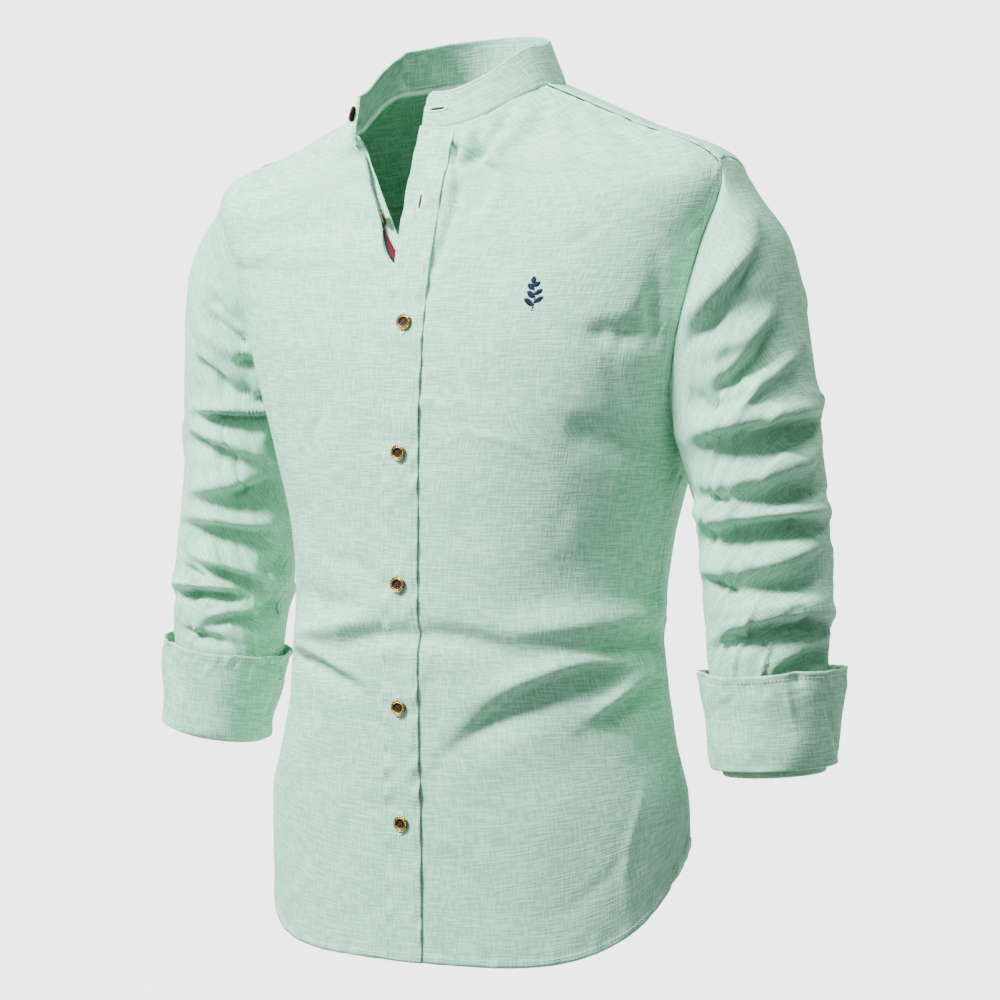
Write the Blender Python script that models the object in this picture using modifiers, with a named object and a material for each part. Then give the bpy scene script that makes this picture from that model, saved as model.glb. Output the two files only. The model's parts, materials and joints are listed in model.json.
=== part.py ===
"""A band-collar button-up shirt, worn and empty: cut panels, sleeves, band, cuffs, strips and buttons as thin solids.

Metres, +Z up, the front faces -Y, the wearer's left is +X. Heights in the tables are measured from the front hem;
HANG moves everything so that the origin is where the shirt rests across the shoulders.
"""

from collections import namedtuple

import bmesh
import bpy
import numpy as np
from mathutils import Vector

HANG = 0.655
CLOTH = 0.0018  # cloth wall
SEAM = 0.2  # half the gap between two panels at a seam, in degrees of turn
STRIP_HALF = 0.016  # the buttonhole strip is twice this wide
STRIP_OUT = 0.0022  # its face stands this far off the front's face
STAND_OUT = -0.0012  # the button stand's face lies this far inside
RIBBON = (-0.0065, 0.0045)  # where the ribbon's two edges lie, to the side of the front's middle
TUCK = (-0.0075, 0.0055)  # and the two edges of the fold that it lies in
YOKE_RING = 7.55  # where the back seam of the yoke lies
YOKE_TURN = 82.0  # where its front seam lies, in degrees from the front
BUTTON_ACROSS = 0.013
BUTTON_HEIGHTS = (0.109, 0.200, 0.296, 0.398, 0.4985)  # fastened buttons
SECOND_BUTTON = 0.580  # the open second button, on the ribbon
RIBBON_TOP = 0.630

# The body, one row per ring from the hem up: heights at the front, side and back, half width,
# y of the sides, of the front and of the back, and squareness of the ring (2 is an ellipse).
Ring = namedtuple("Ring", "front_z side_z back_z half side_y front_y back_y square")
RINGS = [
    Ring(*row)
    for row in (
        (0.000, 0.096, 0.000, 0.183, 0.004, -0.114, 0.112, 2.00),  # hem
        (0.095, 0.125, 0.095, 0.181, 0.004, -0.115, 0.108, 2.05),
        (0.180, 0.180, 0.180, 0.166, 0.006, -0.118, 0.104, 2.10),
        (0.260, 0.260, 0.260, 0.156, 0.009, -0.120, 0.103, 2.15),  # waist
        (0.330, 0.330, 0.330, 0.160, 0.013, -0.119, 0.118, 2.20),
        (0.412, 0.410, 0.412, 0.180, 0.013, -0.118, 0.130, 2.35),  # armpit
        (0.485, 0.490, 0.495, 0.200, 0.006, -0.112, 0.130, 2.50),
        (0.550, 0.560, 0.565, 0.217, 0.002, -0.098, 0.121, 2.50),
        (0.595, 0.622, 0.622, 0.225, 0.000, -0.083, 0.102, 2.30),  # shoulder point
        (0.625, 0.655, 0.661, 0.145, 0.004, -0.072, 0.088, 2.10),
        (0.650, 0.685, 0.693, 0.066, 0.008, -0.062, 0.074, 2.00),  # neckline
    )
]
NECK = len(RINGS) - 1
# Hem heights, evenly spaced: from the front to the side seam, and from the back to the side seam.
HEM_FRONT = (0.0, 0.0, 0.0, 0.0005, 0.003, 0.009, 0.019, 0.033, 0.052, 0.075, 0.089)
HEM_BACK = (0.0, 0.001, 0.004, 0.010, 0.019, 0.031, 0.046, 0.062, 0.077, 0.086, 0.089)
SIDE_Z = 0.096
SEAM_HEM, SEAM_ARMPIT = 99.0, 90.0  # where the side seam stands, in degrees from the front
RIGHT_DROP = 0.015  # the wearer's right shoulder hangs this much lower

# The open neck: how far the right front's neckline moves as it falls open.
Fall = namedtuple("Fall", "turn x y z")
FALLS = [
    Fall(*row)
    for row in (
        (15.0, -0.084, -0.013, -0.006),
        (0.0, -0.075, -0.005, -0.003),
        (-30.0, -0.046, 0.006, -0.007),
        (-60.0, -0.018, 0.007, -0.005),
        (-90.0, -0.003, 0.0, -0.003),
        (-120.0, 0.0, 0.0, 0.0),
    )
]
V_LOW, V_HIGH = 0.540, 0.650  # the heights between which the front falls open
# There the button stand folds back along the ribbon, away from the wearer's left, so the ribbon hides in the fold.
TUCK_TURN = 80.0  # how far the ribbon's strip of the stand turns back, in degrees
TUCK_LOW, TUCK_FULL, TUCK_TOP = 0.532, 0.580, 0.628  # where the fold starts, is full, and starts to close
TUCK_ACROSS = (0.866, 0.5, 0.0)  # the way across the fold, level
TUCK_BACK = (-0.5, 0.866, 0.0)  # the way into the fold

# The armhole round the left arm, from the armpit by the front: turn from the side, ring number.
Hole = namedtuple("Hole", "turn ring")
ARMHOLE = [
    Hole(*row)
    for row in (
        (0.0, 5.00), (-6.5, 5.10), (-11.5, 5.38), (-14.5, 5.90), (-14.5, 6.50), (-12.5, 7.10),
        (-10.5, 7.60), (-8.0, 7.97), (-3.0, 8.06), (4.0, 8.05), (11.0, 7.90), (16.0, 7.55),
        (19.0, 7.10), (20.0, 6.50), (19.0, 5.90), (15.0, 5.38), (8.0, 5.10),
    )
]
# An arm's middle line from the shoulder down, with half widths across and front to back.
Arm = namedtuple("Arm", "x y z across deep")
ARM = [
    Arm(*row)
    for row in (
        (0.198, 0.002, 0.620, 0.056, 0.060),
        (0.211, 0.008, 0.560, 0.057, 0.062),
        (0.222, 0.014, 0.500, 0.056, 0.061),
        (0.231, 0.020, 0.430, 0.054, 0.059),
        (0.239, 0.024, 0.370, 0.051, 0.055),
        (0.246, 0.024, 0.310, 0.051, 0.053),
        (0.250, 0.018, 0.250, 0.0475, 0.049),
        (0.252, 0.016, 0.215, 0.044, 0.045),
        (0.2588, 0.0125, 0.152, 0.037, 0.038),
    )
]
SLEEVE_END = 0.1525
# The cuffs of the wearer's left (1) and right (-1) arm, at the fold and at the free edge.
CUFFS = {
    1: (Arm(0.2575, 0.013, 0.158, 0.0475, 0.047), Arm(0.254, 0.016, 0.231, 0.057, 0.052)),
    -1: (Arm(0.2605, 0.0125, 0.156, 0.0445, 0.046), Arm(0.252, 0.0165, 0.226, 0.050, 0.0545)),
}
CUFF_START = {1: 118.0, -1: 128.0}  # where the cuff's under end lies
CUFF_LAP = 22.0  # how far its two ends lap, in degrees
TILT = {1: 0.06, -1: 0.16}  # how much the outer side of each arm's end stands higher
# The neck band from its left end by the back to its right end; lean is inwards for each height.
BandPlace = namedtuple("BandPlace", "turn height lean")
BAND = [
    BandPlace(*row)
    for row in (
        (-13.0, 0.0285, 0.22),
        (30.0, 0.0305, 0.34),
        (75.0, 0.0315, 0.56),
        (120.0, 0.0330, 0.42),
        (180.0, 0.0350, 0.04),
        (240.0, 0.0345, 0.16),
        (285.0, 0.0330, 0.24),
        (330.0, 0.0310, 0.22),
        (373.0, 0.0285, 0.22),
    )
]

# The folds. Each runs from one place (degrees, height) to another, its middle raised by bow; it stands out
# this far (in, if minus) and has this width above and below its line.
Fold = namedtuple("Fold", "angle height to_angle to_height bow out above below")
BODY_FOLDS = [
    Fold(*row)
    for row in (
        (105, 0.272, 25, 0.260, 0.001, 0.004, 0.014, 0.008),  # waist ridge from the left side
        (100, 0.248, 55, 0.244, 0.005, -0.0045, 0.008, 0.009),  # hollow under it
        (-25, 0.240, 40, 0.240, 0.018, -0.003, 0.008, 0.009),  # hollow across the strip
        (80, 0.232, 20, 0.204, 0.014, 0.004, 0.012, 0.006),  # ridge over the long hollow
        (75, 0.224, 10, 0.158, 0.027, -0.005, 0.006, 0.015),  # the long hollow
        (90, 0.230, 55, 0.190, 0.005, 0.004, 0.009, 0.006),  # ridge below it
        (95, 0.222, 55, 0.186, 0.001, -0.003, 0.006, 0.012),  # hollow below that
        (-55, 0.248, -5, 0.272, -0.004, 0.0035, 0.010, 0.008),  # right waist ridge
        (-50, 0.284, -10, 0.272, 0.000, -0.002, 0.008, 0.008),  # hollow above it
        (-55, 0.228, -10, 0.208, 0.010, -0.003, 0.005, 0.008),  # right waist crease
        (-55, 0.236, -10, 0.216, 0.011, 0.0025, 0.006, 0.005),  # ridge over the crease
        (40, 0.492, 65, 0.486, 0.003, -0.0025, 0.008, 0.010),  # front chest hollow
        (40, 0.424, 75, 0.400, -0.002, -0.0025, 0.009, 0.016),  # side chest hollow
        (60, 0.546, 70, 0.488, -0.018, -0.003, 0.009, 0.009),  # armhole hollow
        (35, 0.654, 5, 0.556, 0.033, -0.0035, 0.006, 0.006),  # neck hollow
        (25, 0.652, 0, 0.582, 0.017, 0.002, 0.005, 0.005),  # ridge left of it
        (40, 0.658, 5, 0.552, 0.033, 0.0025, 0.008, 0.008),  # ridge right of it
        (65, 0.672, 25, 0.628, 0.002, -0.0015, 0.006, 0.006),  # small neck hollow
        (70, 0.652, 55, 0.624, 0.000, -0.0012, 0.005, 0.005),  # yoke crease
        (65, 0.664, 50, 0.640, 0.001, -0.0012, 0.005, 0.005),  # yoke crease
        (-5, 0.588, -5, 0.514, 0.003, -0.0012, 0.005, 0.005),  # right front crease
        (110, 0.262, 190, 0.268, -0.005, 0.004, 0.012, 0.007),  # waist ridge behind
        (205, 0.252, 260, 0.262, 0.008, 0.004, 0.012, 0.007),  # waist ridge behind, right
        (115, 0.240, 180, 0.250, -0.005, -0.004, 0.007, 0.010),  # hollow under it
        (180, 0.246, 255, 0.248, -0.009, -0.003, 0.007, 0.010),  # hollow under it, right
        (130, 0.516, 150, 0.396, 0.000, -0.003, 0.010, 0.010),  # behind the left armhole
        (230, 0.516, 210, 0.396, 0.000, -0.003, 0.010, 0.010),  # behind the right armhole
    )
]
LEFT_FOLDS = [
    Fold(*row)
    for row in (
        (65, 0.568, -15, 0.486, -0.004, 0.006, 0.013, 0.004),  # sharp ridge off the shoulder
        (65, 0.560, -5, 0.488, -0.003, -0.004, 0.005, 0.009),  # hollow under it
        (70, 0.520, 0, 0.478, -0.010, 0.003, 0.008, 0.007),  # second ridge
        (55, 0.496, -5, 0.452, -0.008, 0.004, 0.008, 0.006),  # third ridge
        (70, 0.508, 0, 0.448, -0.011, -0.006, 0.007, 0.009),  # deep hollow
        (90, 0.486, 5, 0.440, -0.003, 0.004, 0.008, 0.008),  # ridge under the deep hollow
        (-25, 0.448, 20, 0.440, -0.008, -0.004, 0.005, 0.006),  # armpit pocket
        (-40, 0.408, 115, 0.434, 0.006, 0.007, 0.014, 0.006),  # great ridge
        (-25, 0.400, 105, 0.424, 0.004, -0.006, 0.006, 0.015),  # great hollow
        (-35, 0.374, 115, 0.418, -0.010, 0.006, 0.012, 0.009),  # ridge across the elbow
        (-40, 0.368, 5, 0.364, -0.002, -0.004, 0.004, 0.005),  # crease
        (-60, 0.354, 15, 0.360, -0.003, 0.003, 0.007, 0.007),  # bulge at the inside
        (15, 0.356, 115, 0.368, 0.007, -0.004, 0.009, 0.007),  # outer hollow
        (-50, 0.338, 115, 0.352, 0.008, 0.006, 0.009, 0.005),  # ridge of the forearm
        (-50, 0.328, 90, 0.344, 0.007, -0.006, 0.005, 0.012),  # hollow under it
        (-55, 0.308, 100, 0.342, -0.010, 0.006, 0.014, 0.008),  # long forearm ridge
        (-40, 0.300, 5, 0.290, 0.004, -0.004, 0.004, 0.004),  # crease at the inside
        (10, 0.300, 90, 0.300, -0.001, -0.0035, 0.006, 0.009),  # forearm hollow
        (-30, 0.276, 105, 0.294, 0.001, 0.004, 0.010, 0.007),  # lower ridge
        (-30, 0.256, 115, 0.272, 0.012, 0.006, 0.010, 0.004),  # last ridge
        (-35, 0.246, 115, 0.264, 0.013, -0.006, 0.004, 0.009),  # dark hollow under it
        (20, 0.232, 115, 0.262, 0.007, 0.003, 0.009, 0.006),  # slanting ridge at the cuff
        (40, 0.232, 115, 0.246, 0.005, -0.003, 0.006, 0.009),  # hollow beside it
    )
]
RIGHT_FOLDS = [
    Fold(*row)
    for row in (
        (20, 0.524, -20, 0.492, -0.003, -0.003, 0.004, 0.005),  # upper shoulder crease
        (20, 0.530, -20, 0.496, -0.002, 0.0025, 0.006, 0.004),  # ridge by it
        (15, 0.508, -30, 0.476, -0.003, -0.004, 0.004, 0.005),  # fine crease
        (15, 0.514, -25, 0.484, -0.002, 0.0025, 0.006, 0.004),  # ridge over the fine crease
        (20, 0.500, -35, 0.468, -0.007, 0.0035, 0.007, 0.009),  # bright ridge
        (-15, 0.464, -40, 0.458, 0.002, -0.0035, 0.005, 0.005),  # pocket by the armpit
        (20, 0.464, -20, 0.436, 0.006, -0.005, 0.004, 0.006),  # slanting crease
        (15, 0.472, -25, 0.444, 0.002, 0.0025, 0.007, 0.005),  # ridge over the slanting crease
        (-20, 0.436, -35, 0.440, 0.001, -0.0025, 0.004, 0.004),  # small hollow
        (-30, 0.426, -55, 0.428, 0.005, -0.005, 0.005, 0.005),  # inner pocket
        (25, 0.424, -60, 0.422, 0.001, 0.005, 0.009, 0.004),  # ridge over the great hollow
        (15, 0.420, -65, 0.416, -0.002, -0.0065, 0.005, 0.009),  # great hollow
        (35, 0.398, -30, 0.386, 0.005, -0.005, 0.005, 0.009),  # elbow hollow
        (25, 0.406, -70, 0.382, 0.002, 0.006, 0.014, 0.006),  # elbow ridge
        (-50, 0.388, -70, 0.404, 0.001, -0.004, 0.010, 0.010),  # hollow inside the elbow
        (25, 0.358, -55, 0.376, -0.005, 0.006, 0.012, 0.007),  # ridge above the wide hollow
        (-10, 0.346, -75, 0.362, 0.001, -0.006, 0.006, 0.014),  # wide hollow
        (30, 0.334, -80, 0.328, 0.000, 0.005, 0.012, 0.006),  # ridge below the wide hollow
        (30, 0.328, -75, 0.308, 0.006, -0.006, 0.005, 0.011),  # long slanting hollow
        (15, 0.304, -85, 0.274, 0.003, 0.006, 0.012, 0.004),  # slanting ridge
        (0, 0.296, -75, 0.272, 0.001, -0.005, 0.004, 0.007),  # hollow under it
        (-50, 0.288, -95, 0.288, 0.005, -0.004, 0.008, 0.009),  # inner hollow
        (25, 0.292, -10, 0.280, 0.001, -0.004, 0.004, 0.005),  # outer crease
        (50, 0.276, -50, 0.272, 0.004, 0.005, 0.008, 0.004),  # ridge over the strong crease
        (45, 0.268, -50, 0.268, 0.004, -0.006, 0.004, 0.006),  # strong crease
        (-5, 0.260, -30, 0.258, 0.000, -0.002, 0.004, 0.004),  # soft crease
        (-5, 0.248, -75, 0.250, 0.008, 0.0035, 0.007, 0.004),  # ridge over the bowed crease
        (-5, 0.244, -70, 0.244, 0.008, -0.004, 0.004, 0.006),  # bowed crease
        (-50, 0.256, -95, 0.260, 0.001, -0.004, 0.005, 0.008),  # inner dark hollow
        (25, 0.240, -40, 0.228, 0.001, -0.004, 0.004, 0.005),  # last crease
    )
]
BACK_FOLDS = [
    Fold(*row)
    for row in (
        (120, 0.440, 225, 0.404, 0.002, 0.006, 0.012, 0.007),  # elbow ridge behind
        (125, 0.418, 230, 0.390, 0.002, -0.005, 0.007, 0.010),  # hollow under it
        (130, 0.372, 235, 0.366, 0.010, 0.006, 0.012, 0.006),  # second ridge behind
        (130, 0.352, 240, 0.348, 0.009, -0.005, 0.006, 0.010),  # hollow under it
        (125, 0.322, 235, 0.310, 0.006, 0.005, 0.012, 0.006),  # third ridge behind
        (120, 0.304, 240, 0.292, 0.005, -0.004, 0.005, 0.009),  # hollow under it
        (120, 0.272, 240, 0.262, 0.008, 0.004, 0.010, 0.006),  # last ridge behind
        (125, 0.530, 215, 0.462, -0.007, 0.004, 0.012, 0.008),  # shoulder-blade ridge
        (130, 0.504, 220, 0.444, -0.007, -0.004, 0.008, 0.010),  # hollow under it
    )
]
SLEEVE_FOLDS = {1: LEFT_FOLDS + BACK_FOLDS, -1: RIGHT_FOLDS + BACK_FOLDS}
FINEST = 0.008  # folds narrower than this are widened to it in the solids


def along(rows, t, closed=False):
    """A smooth curve through the rows of a table, at row number t."""
    rows = np.asarray(rows, float)
    t = np.asarray(t, float)
    count = len(rows)
    if closed:
        t = t % count
    first = np.floor(t).astype(int)
    if not closed:
        first = np.clip(first, 0, count - 2)
    f = t - first
    if rows.ndim > 1:
        f = f[..., None]

    def row(step):
        if closed:
            return rows[(first + step) % count]
        return rows[np.clip(first + step, 0, count - 1)]

    before, start, end, after = row(-1), row(0), row(1), row(2)
    bend = 2 * before - 5 * start + 4 * end - after
    twist = 3 * start - before - 3 * end + after
    return 0.5 * (2 * start + (end - before) * f + bend * f**2 + twist * f**3)


def smooth(x, low=0.0, high=1.0):
    x = np.clip((np.asarray(x, float) - low) / (high - low), 0, 1)
    return x * x * (3 - 2 * x)


def seam_turn(t):
    """Where the side seam stands at ring number t."""
    return SEAM_HEM + (SEAM_ARMPIT - SEAM_HEM) * np.clip(np.asarray(t, float) / 5, 0, 1)


def turn_at(x, t):
    """The turn that stands x to the side of the front's middle."""
    line = along(RINGS, t)
    half, square = line[..., 3], line[..., 7]
    return np.degrees(np.arcsin((np.abs(x) / half) ** (square / 2))) * np.sign(x)


def hem_lift(turn, t, share):
    """How much the curved hem raises or lowers the lowest ring, fading out above it."""
    size = np.abs((turn + 180) % 360 - 180)
    hem_front = along(HEM_FRONT, 10 * np.clip(size / SEAM_HEM, 0, 1))
    hem_back = along(HEM_BACK, 10 * np.clip((180 - size) / (180 - SEAM_HEM), 0, 1))
    hem = np.where(size < SEAM_HEM, hem_front, hem_back)
    tail = np.clip(1 - t, 0, 2) ** 2 * (1 + 2 * np.clip(t, -1, 1))
    return (hem - SIDE_Z * (1 - share)) * np.where(t < 1, tail, 0)


def tuck(x, z, turn):
    """How the open front folds back along the ribbon: a shift for points x beside the middle at height z."""
    wide = TUCK[1] - TUCK[0]
    angle = np.radians(TUCK_TURN) * smooth(z, TUCK_LOW, TUCK_FULL) * (1 - smooth(z, TUCK_TOP, 0.648))
    beyond = np.clip((x - TUCK[0]) / wide, 0, 1)
    across = wide * (1 - np.cos(angle)) * (smooth(turn, -60, -8) - beyond)
    back = wide * np.sin(angle) * beyond
    return across[..., None] * np.array(TUCK_ACROSS) + back[..., None] * np.array(TUCK_BACK)


def body_base(turn, t, opens=True):
    """The body before folds. turn: degrees from the front towards the wearer's left. t: ring number."""
    turn, t = np.broadcast_arrays(np.asarray(turn, float), np.asarray(t, float))
    zf, zs, zb, half, ys, yf, yb, square = np.moveaxis(along(RINGS, t), -1, 0)
    c, s = np.cos(np.radians(turn)), np.sin(np.radians(turn))
    power = 2 / square
    front = c > 0
    x = half * np.sign(s) * np.abs(s) ** power
    y = ys + np.where(front, yf - ys, yb - ys) * np.abs(c) ** power
    z = zs + np.where(front, zf - zs, zb - zs) * c**2
    z = z + hem_lift(turn, t, c**2)
    z = z - RIGHT_DROP * smooth(-x, 0.05, 0.20) * smooth(t, 6.0, 8.0)
    opening = np.clip((zf - V_LOW) / (V_HIGH - V_LOW), 0, 1.2) ** 0.75 * (turn < 16) * opens
    falls = np.array(FALLS)
    moves = np.stack([np.interp(-turn, -falls[:, 0], falls[:, k]) for k in (1, 2, 3)], -1)
    part = np.stack([opening, opening**4, opening**4], -1)
    folded = tuck(x, zf, turn) * ((turn < 16) * opens)[..., None]
    return np.stack([x, y, z], -1) + moves * part + folded


def fold_line(fold, steps=20):
    """The fold's line as angles and heights."""
    s = np.linspace(0, 1, steps + 1)
    angle = fold.angle + (fold.to_angle - fold.angle) * s
    height = fold.height + (fold.to_height - fold.height) * s + fold.bow * 4 * s * (1 - s)
    return angle, height


def folds(angle, z, table, radius):
    """How far the cloth stands out at each place, from the table's ridges and troughs."""
    angle, z = np.broadcast_arrays(np.asarray(angle, float), np.asarray(z, float))
    total = np.zeros(z.shape)
    for fold in table:
        above, below = max(fold.above, FINEST), max(fold.below, FINEST)
        line, heights = fold_line(fold)
        reach = 3.2 * max(above, below)
        near = (z > heights.min() - reach) & (z < heights.max() + reach)
        if not near.any():
            continue
        middle = 0.5 * (line[0] + line[-1])
        turned = (angle[near] - middle + 180) % 360 - 180 + middle
        px, pz = np.radians(turned) * radius, z[near]
        lx = np.radians(line) * radius
        best = np.full(px.shape, 1e9)
        side = np.zeros(px.shape)
        place = np.zeros(px.shape)
        last = len(lx) - 1
        for k in range(last):
            dx, dz = lx[k + 1] - lx[k], heights[k + 1] - heights[k]
            size = dx * dx + dz * dz + 1e-12
            f = np.clip(((px - lx[k]) * dx + (pz - heights[k]) * dz) / size, 0, 1)
            ex, ez = px - lx[k] - f * dx, pz - heights[k] - f * dz
            gap = ex * ex + ez * ez
            closer = gap < best
            best = np.where(closer, gap, best)
            side = np.where(closer, dx * ez - dz * ex, side)
            place = np.where(closer, (k + f) / last, place)
        over = side * np.sign(lx[-1] - lx[0] + 1e-9) > 0
        width = np.where(over, above, below)
        fade = 0.15 + 0.85 * smooth(place, 0, 0.3) * smooth(1 - place, 0, 0.3)
        total[near] += fold.out * fade * np.exp(-best / width**2)
    return total


def outward(surface, u, v, du, dv):
    """The direction out of a surface, from steps along it."""
    across = surface(u + du, v) - surface(u - du, v)
    up = surface(u, v + dv) - surface(u, v - dv)
    n = np.cross(across, up)
    return n / np.linalg.norm(n, axis=-1, keepdims=True)


def body(turn, t, out=0.0, opens=True):
    """The body with its folds, moved out from the cloth's face by out."""
    turn, t = np.broadcast_arrays(np.asarray(turn, float), np.asarray(t, float))
    base = body_base(turn, t, opens)
    n = outward(lambda u, v: body_base(u, v, opens), turn, t, 0.6, 0.04)
    lift = folds(turn, base[..., 2], BODY_FOLDS, 0.145)
    return base + n * (lift + out)[..., None]


def sleeve_base(round_, down, side):
    """A sleeve before folds. round_: 0 armpit, 0.25 front, 0.5 shoulder, 0.75 back. down: 0 armhole to 1."""
    round_, down = np.broadcast_arrays(np.asarray(round_, float), np.asarray(down, float))
    line = along(ARMHOLE, round_ * len(ARMHOLE), closed=True)
    start = body(side * (90 + line[..., 0]), line[..., 1], 0.0009) * [side, 1, 1]
    middle = np.array([0.206, 0.010, 0.520])
    start = start + (middle - start) * 0.006
    z = start[..., 2] + (SLEEVE_END - start[..., 2]) * down
    arm = np.array(ARM)[::-1]
    place = np.interp(z, arm[:, 2], np.arange(len(arm)))
    x, y, _, across, deep = np.moveaxis(along(arm, place), -1, 0)
    angle = 2 * np.pi * round_
    ring = np.stack([x - across * np.cos(angle), y - deep * np.sin(angle), z], -1)
    fallen = start[..., 2] - z
    out = np.sin(np.pi / 2 * np.clip(fallen / 0.075, 0, 1))[..., None]
    mixed = start + (ring - start) * out
    tilt = TILT[side] * (mixed[..., 0] - 0.255) * smooth(down, 0.55, 0.95)
    mixed[..., 2] = z + tilt
    return mixed * [side, 1, 1]


def sleeve(round_, down, side, out=0.0):
    """A sleeve with its folds."""
    round_, down = np.broadcast_arrays(np.asarray(round_, float), np.asarray(down, float))
    base = sleeve_base(round_, down, side)
    n = -side * outward(lambda u, v: sleeve_base(u, v, side), round_, down, 0.004, 0.01)
    lift = folds(360 * round_ - 90, base[..., 2], SLEEVE_FOLDS[side], 0.054)
    lift = lift * smooth(down, 0.0, 0.06) * smooth(base[..., 2], 0.205, 0.240)
    return base + n * (lift + out)[..., None]


def neckline(place):
    """The neckline from the left front's edge by the back to the right front's edge."""
    turn = BAND[0].turn + (BAND[-1].turn - BAND[0].turn) * place
    left = body(np.minimum(turn, 180), NECK, 0, False)
    right = body(np.maximum(turn, 180) - 360, NECK, 0, True)
    return np.where((turn > 180)[..., None], right, left)


def band(place, up, out=0.0):
    """The neck band. place: 0 at its left end to 1 at its right end. up: 0 at the neckline to 1 at its top."""
    place, up = np.broadcast_arrays(np.asarray(place, float), np.asarray(up, float))
    step = neckline(place + 0.004) - neckline(place - 0.004)
    inward = np.stack([-step[..., 1], step[..., 0], 0 * place], -1)
    inward = inward / np.linalg.norm(inward, axis=-1, keepdims=True)
    turns = np.array([row.turn for row in BAND])
    turn = turns[0] + (turns[-1] - turns[0]) * place
    row = np.interp(turn, turns, range(len(BAND)))
    _, height, lean = np.moveaxis(along(BAND, row), -1, 0)
    upright = np.array([0, 0, 1.0])
    rise = (up * height)[..., None] * (upright + inward * lean[..., None])
    face = upright * lean[..., None] - inward
    face = face / np.linalg.norm(face, axis=-1, keepdims=True)
    return neckline(place) + rise + face * np.asarray(out)[..., None]


def cuff(place, up, side, out=0.0):
    """A turned-back cuff. place: 0 at its under end to 1 at its lapped end. up: 0 by the fold to 1."""
    place, up = np.broadcast_arrays(np.asarray(place, float), np.asarray(up, float))
    low, high = (np.array(row) for row in CUFFS[side])
    x, y, z, across, deep = np.moveaxis(low + (high - low) * up[..., None], -1, 0)
    angle = np.radians(CUFF_START[side] + (360 + CUFF_LAP) * place)
    more = 0.003 * place + out
    beside = (across + more) * np.sin(angle)
    y = y - (deep + more) * np.cos(angle)
    return np.stack([side * (x + beside), y, z + TILT[side] * beside], -1)


def armhole_turns(t, by_front):
    """Where the armhole's front or back edge stands at ring number t."""
    line = along(ARMHOLE, np.linspace(0, len(ARMHOLE), 341), closed=True)
    top = int(np.argmax(line[:, 1]))
    part = line[: top + 1] if by_front else line[top:][::-1]
    return 90 + np.interp(t, part[:, 1], part[:, 0])


def front_edge(t):
    """The outer edge of a front: side seam, armhole, then the seam of the yoke."""
    t = np.asarray(t, float)
    corner = ARMHOLE[7].ring
    return np.where(t < 5, seam_turn(t), armhole_turns(np.clip(t, 5, corner), True)) - SEAM


def back_edge(t):
    """The outer edge of the back: side seam, then armhole."""
    t = np.asarray(t, float)
    return np.where(t < 5, seam_turn(t), armhole_turns(np.clip(t, 5, 8), False)) + SEAM


TOP = NECK - 0.004  # the last ring of the panels, just under the neck band
# Ring numbers of the rows of points up a panel, closer together round the waist and the armhole.
LOW_ROWS = np.concatenate([np.linspace(0, 1.6, 6), np.linspace(1.95, 3.4, 7), np.linspace(3.8, 4.9, 4)])
ARM_ROWS = np.array([5.03, 5.12, 5.3, 5.6, 6.0, 6.4, 6.7, 7.0, 7.3, 7.65])
SHOULDER_ROWS = np.linspace(ARMHOLE[7].ring, TOP, 6)
ROWS = np.concatenate([LOW_ROWS, ARM_ROWS, SHOULDER_ROWS])
STRIP_ROWS = np.concatenate([LOW_ROWS, [5.3, 5.6, 6.0, 6.4, 6.7, 7.0, 7.3, 7.65, 7.97, 8.37, 8.78, 9.18, 9.59]])


def grid(first, last, columns, rows):
    """Turns between two edges at every row."""
    share = np.linspace(0, 1, columns)[:, None]
    first, last = np.broadcast_to(first, rows.shape), np.broadcast_to(last, rows.shape)
    return first + (last - first) * share, np.broadcast_to(rows, (columns, len(rows)))


def wrapped(turn, t, out=0.0):
    """The body's back and yoke, for turns from the left side past 180 to the right side."""
    left = body(np.minimum(turn, 180), t, out, False)
    right = body(np.maximum(turn, 180) - 360, t, out, True)
    return np.where((turn > 180)[..., None], right, left)


def clear_scene():
    for obj in list(bpy.data.objects):
        bpy.data.objects.remove(obj, do_unlink=True)


def paint(name, colour, roughness, metallic=0.0):
    made = bpy.data.materials.new(name)
    made.use_nodes = True
    shader = made.node_tree.nodes["Principled BSDF"]
    shader.inputs["Base Color"].default_value = (*colour, 1)
    shader.inputs["Roughness"].default_value = roughness
    shader.inputs["Metallic"].default_value = metallic
    return made


def cloth(name, points, colour, wall=CLOTH, ring=False, flip=False):
    """A flat grid bent to the piece's outer face, joined up if it is a ring, with its wall on the inner side."""
    columns, rows = points.shape[:2]
    if ring:
        points = np.concatenate([points, points[:1]])
        columns += 1
    net = bmesh.new()
    bmesh.ops.create_grid(net, x_segments=columns - 1, y_segments=rows - 1, size=1)
    for corner in net.verts:
        i = round((corner.co.x + 1) / 2 * (columns - 1))
        j = round((corner.co.y + 1) / 2 * (rows - 1))
        x, y, z = points[i, j]
        corner.co = (x, y, z - HANG)
    if ring:
        bmesh.ops.remove_doubles(net, verts=net.verts, dist=1e-6)
    if flip:
        bmesh.ops.reverse_faces(net, faces=net.faces)
    mesh = bpy.data.meshes.new(name)
    net.to_mesh(mesh)
    net.free()
    mesh.shade_smooth()
    mesh.materials.append(paint(name, *colour))
    obj = bpy.data.objects.new(name, mesh)
    shirt.objects.link(obj)
    thick = obj.modifiers.new("wall", "SOLIDIFY")
    thick.thickness = wall
    thick.offset = -1
    return obj


def front_panels(colour):
    turns, rings = grid(turn_at(0.0155, ROWS), front_edge(ROWS), 15, ROWS)
    cloth("front_left", body(turns, rings, 0, False), colour)
    turns, rings = grid(-front_edge(ROWS), turn_at(-0.0182, ROWS), 15, ROWS)
    cloth("front_right", body(turns, rings), colour)


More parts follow.
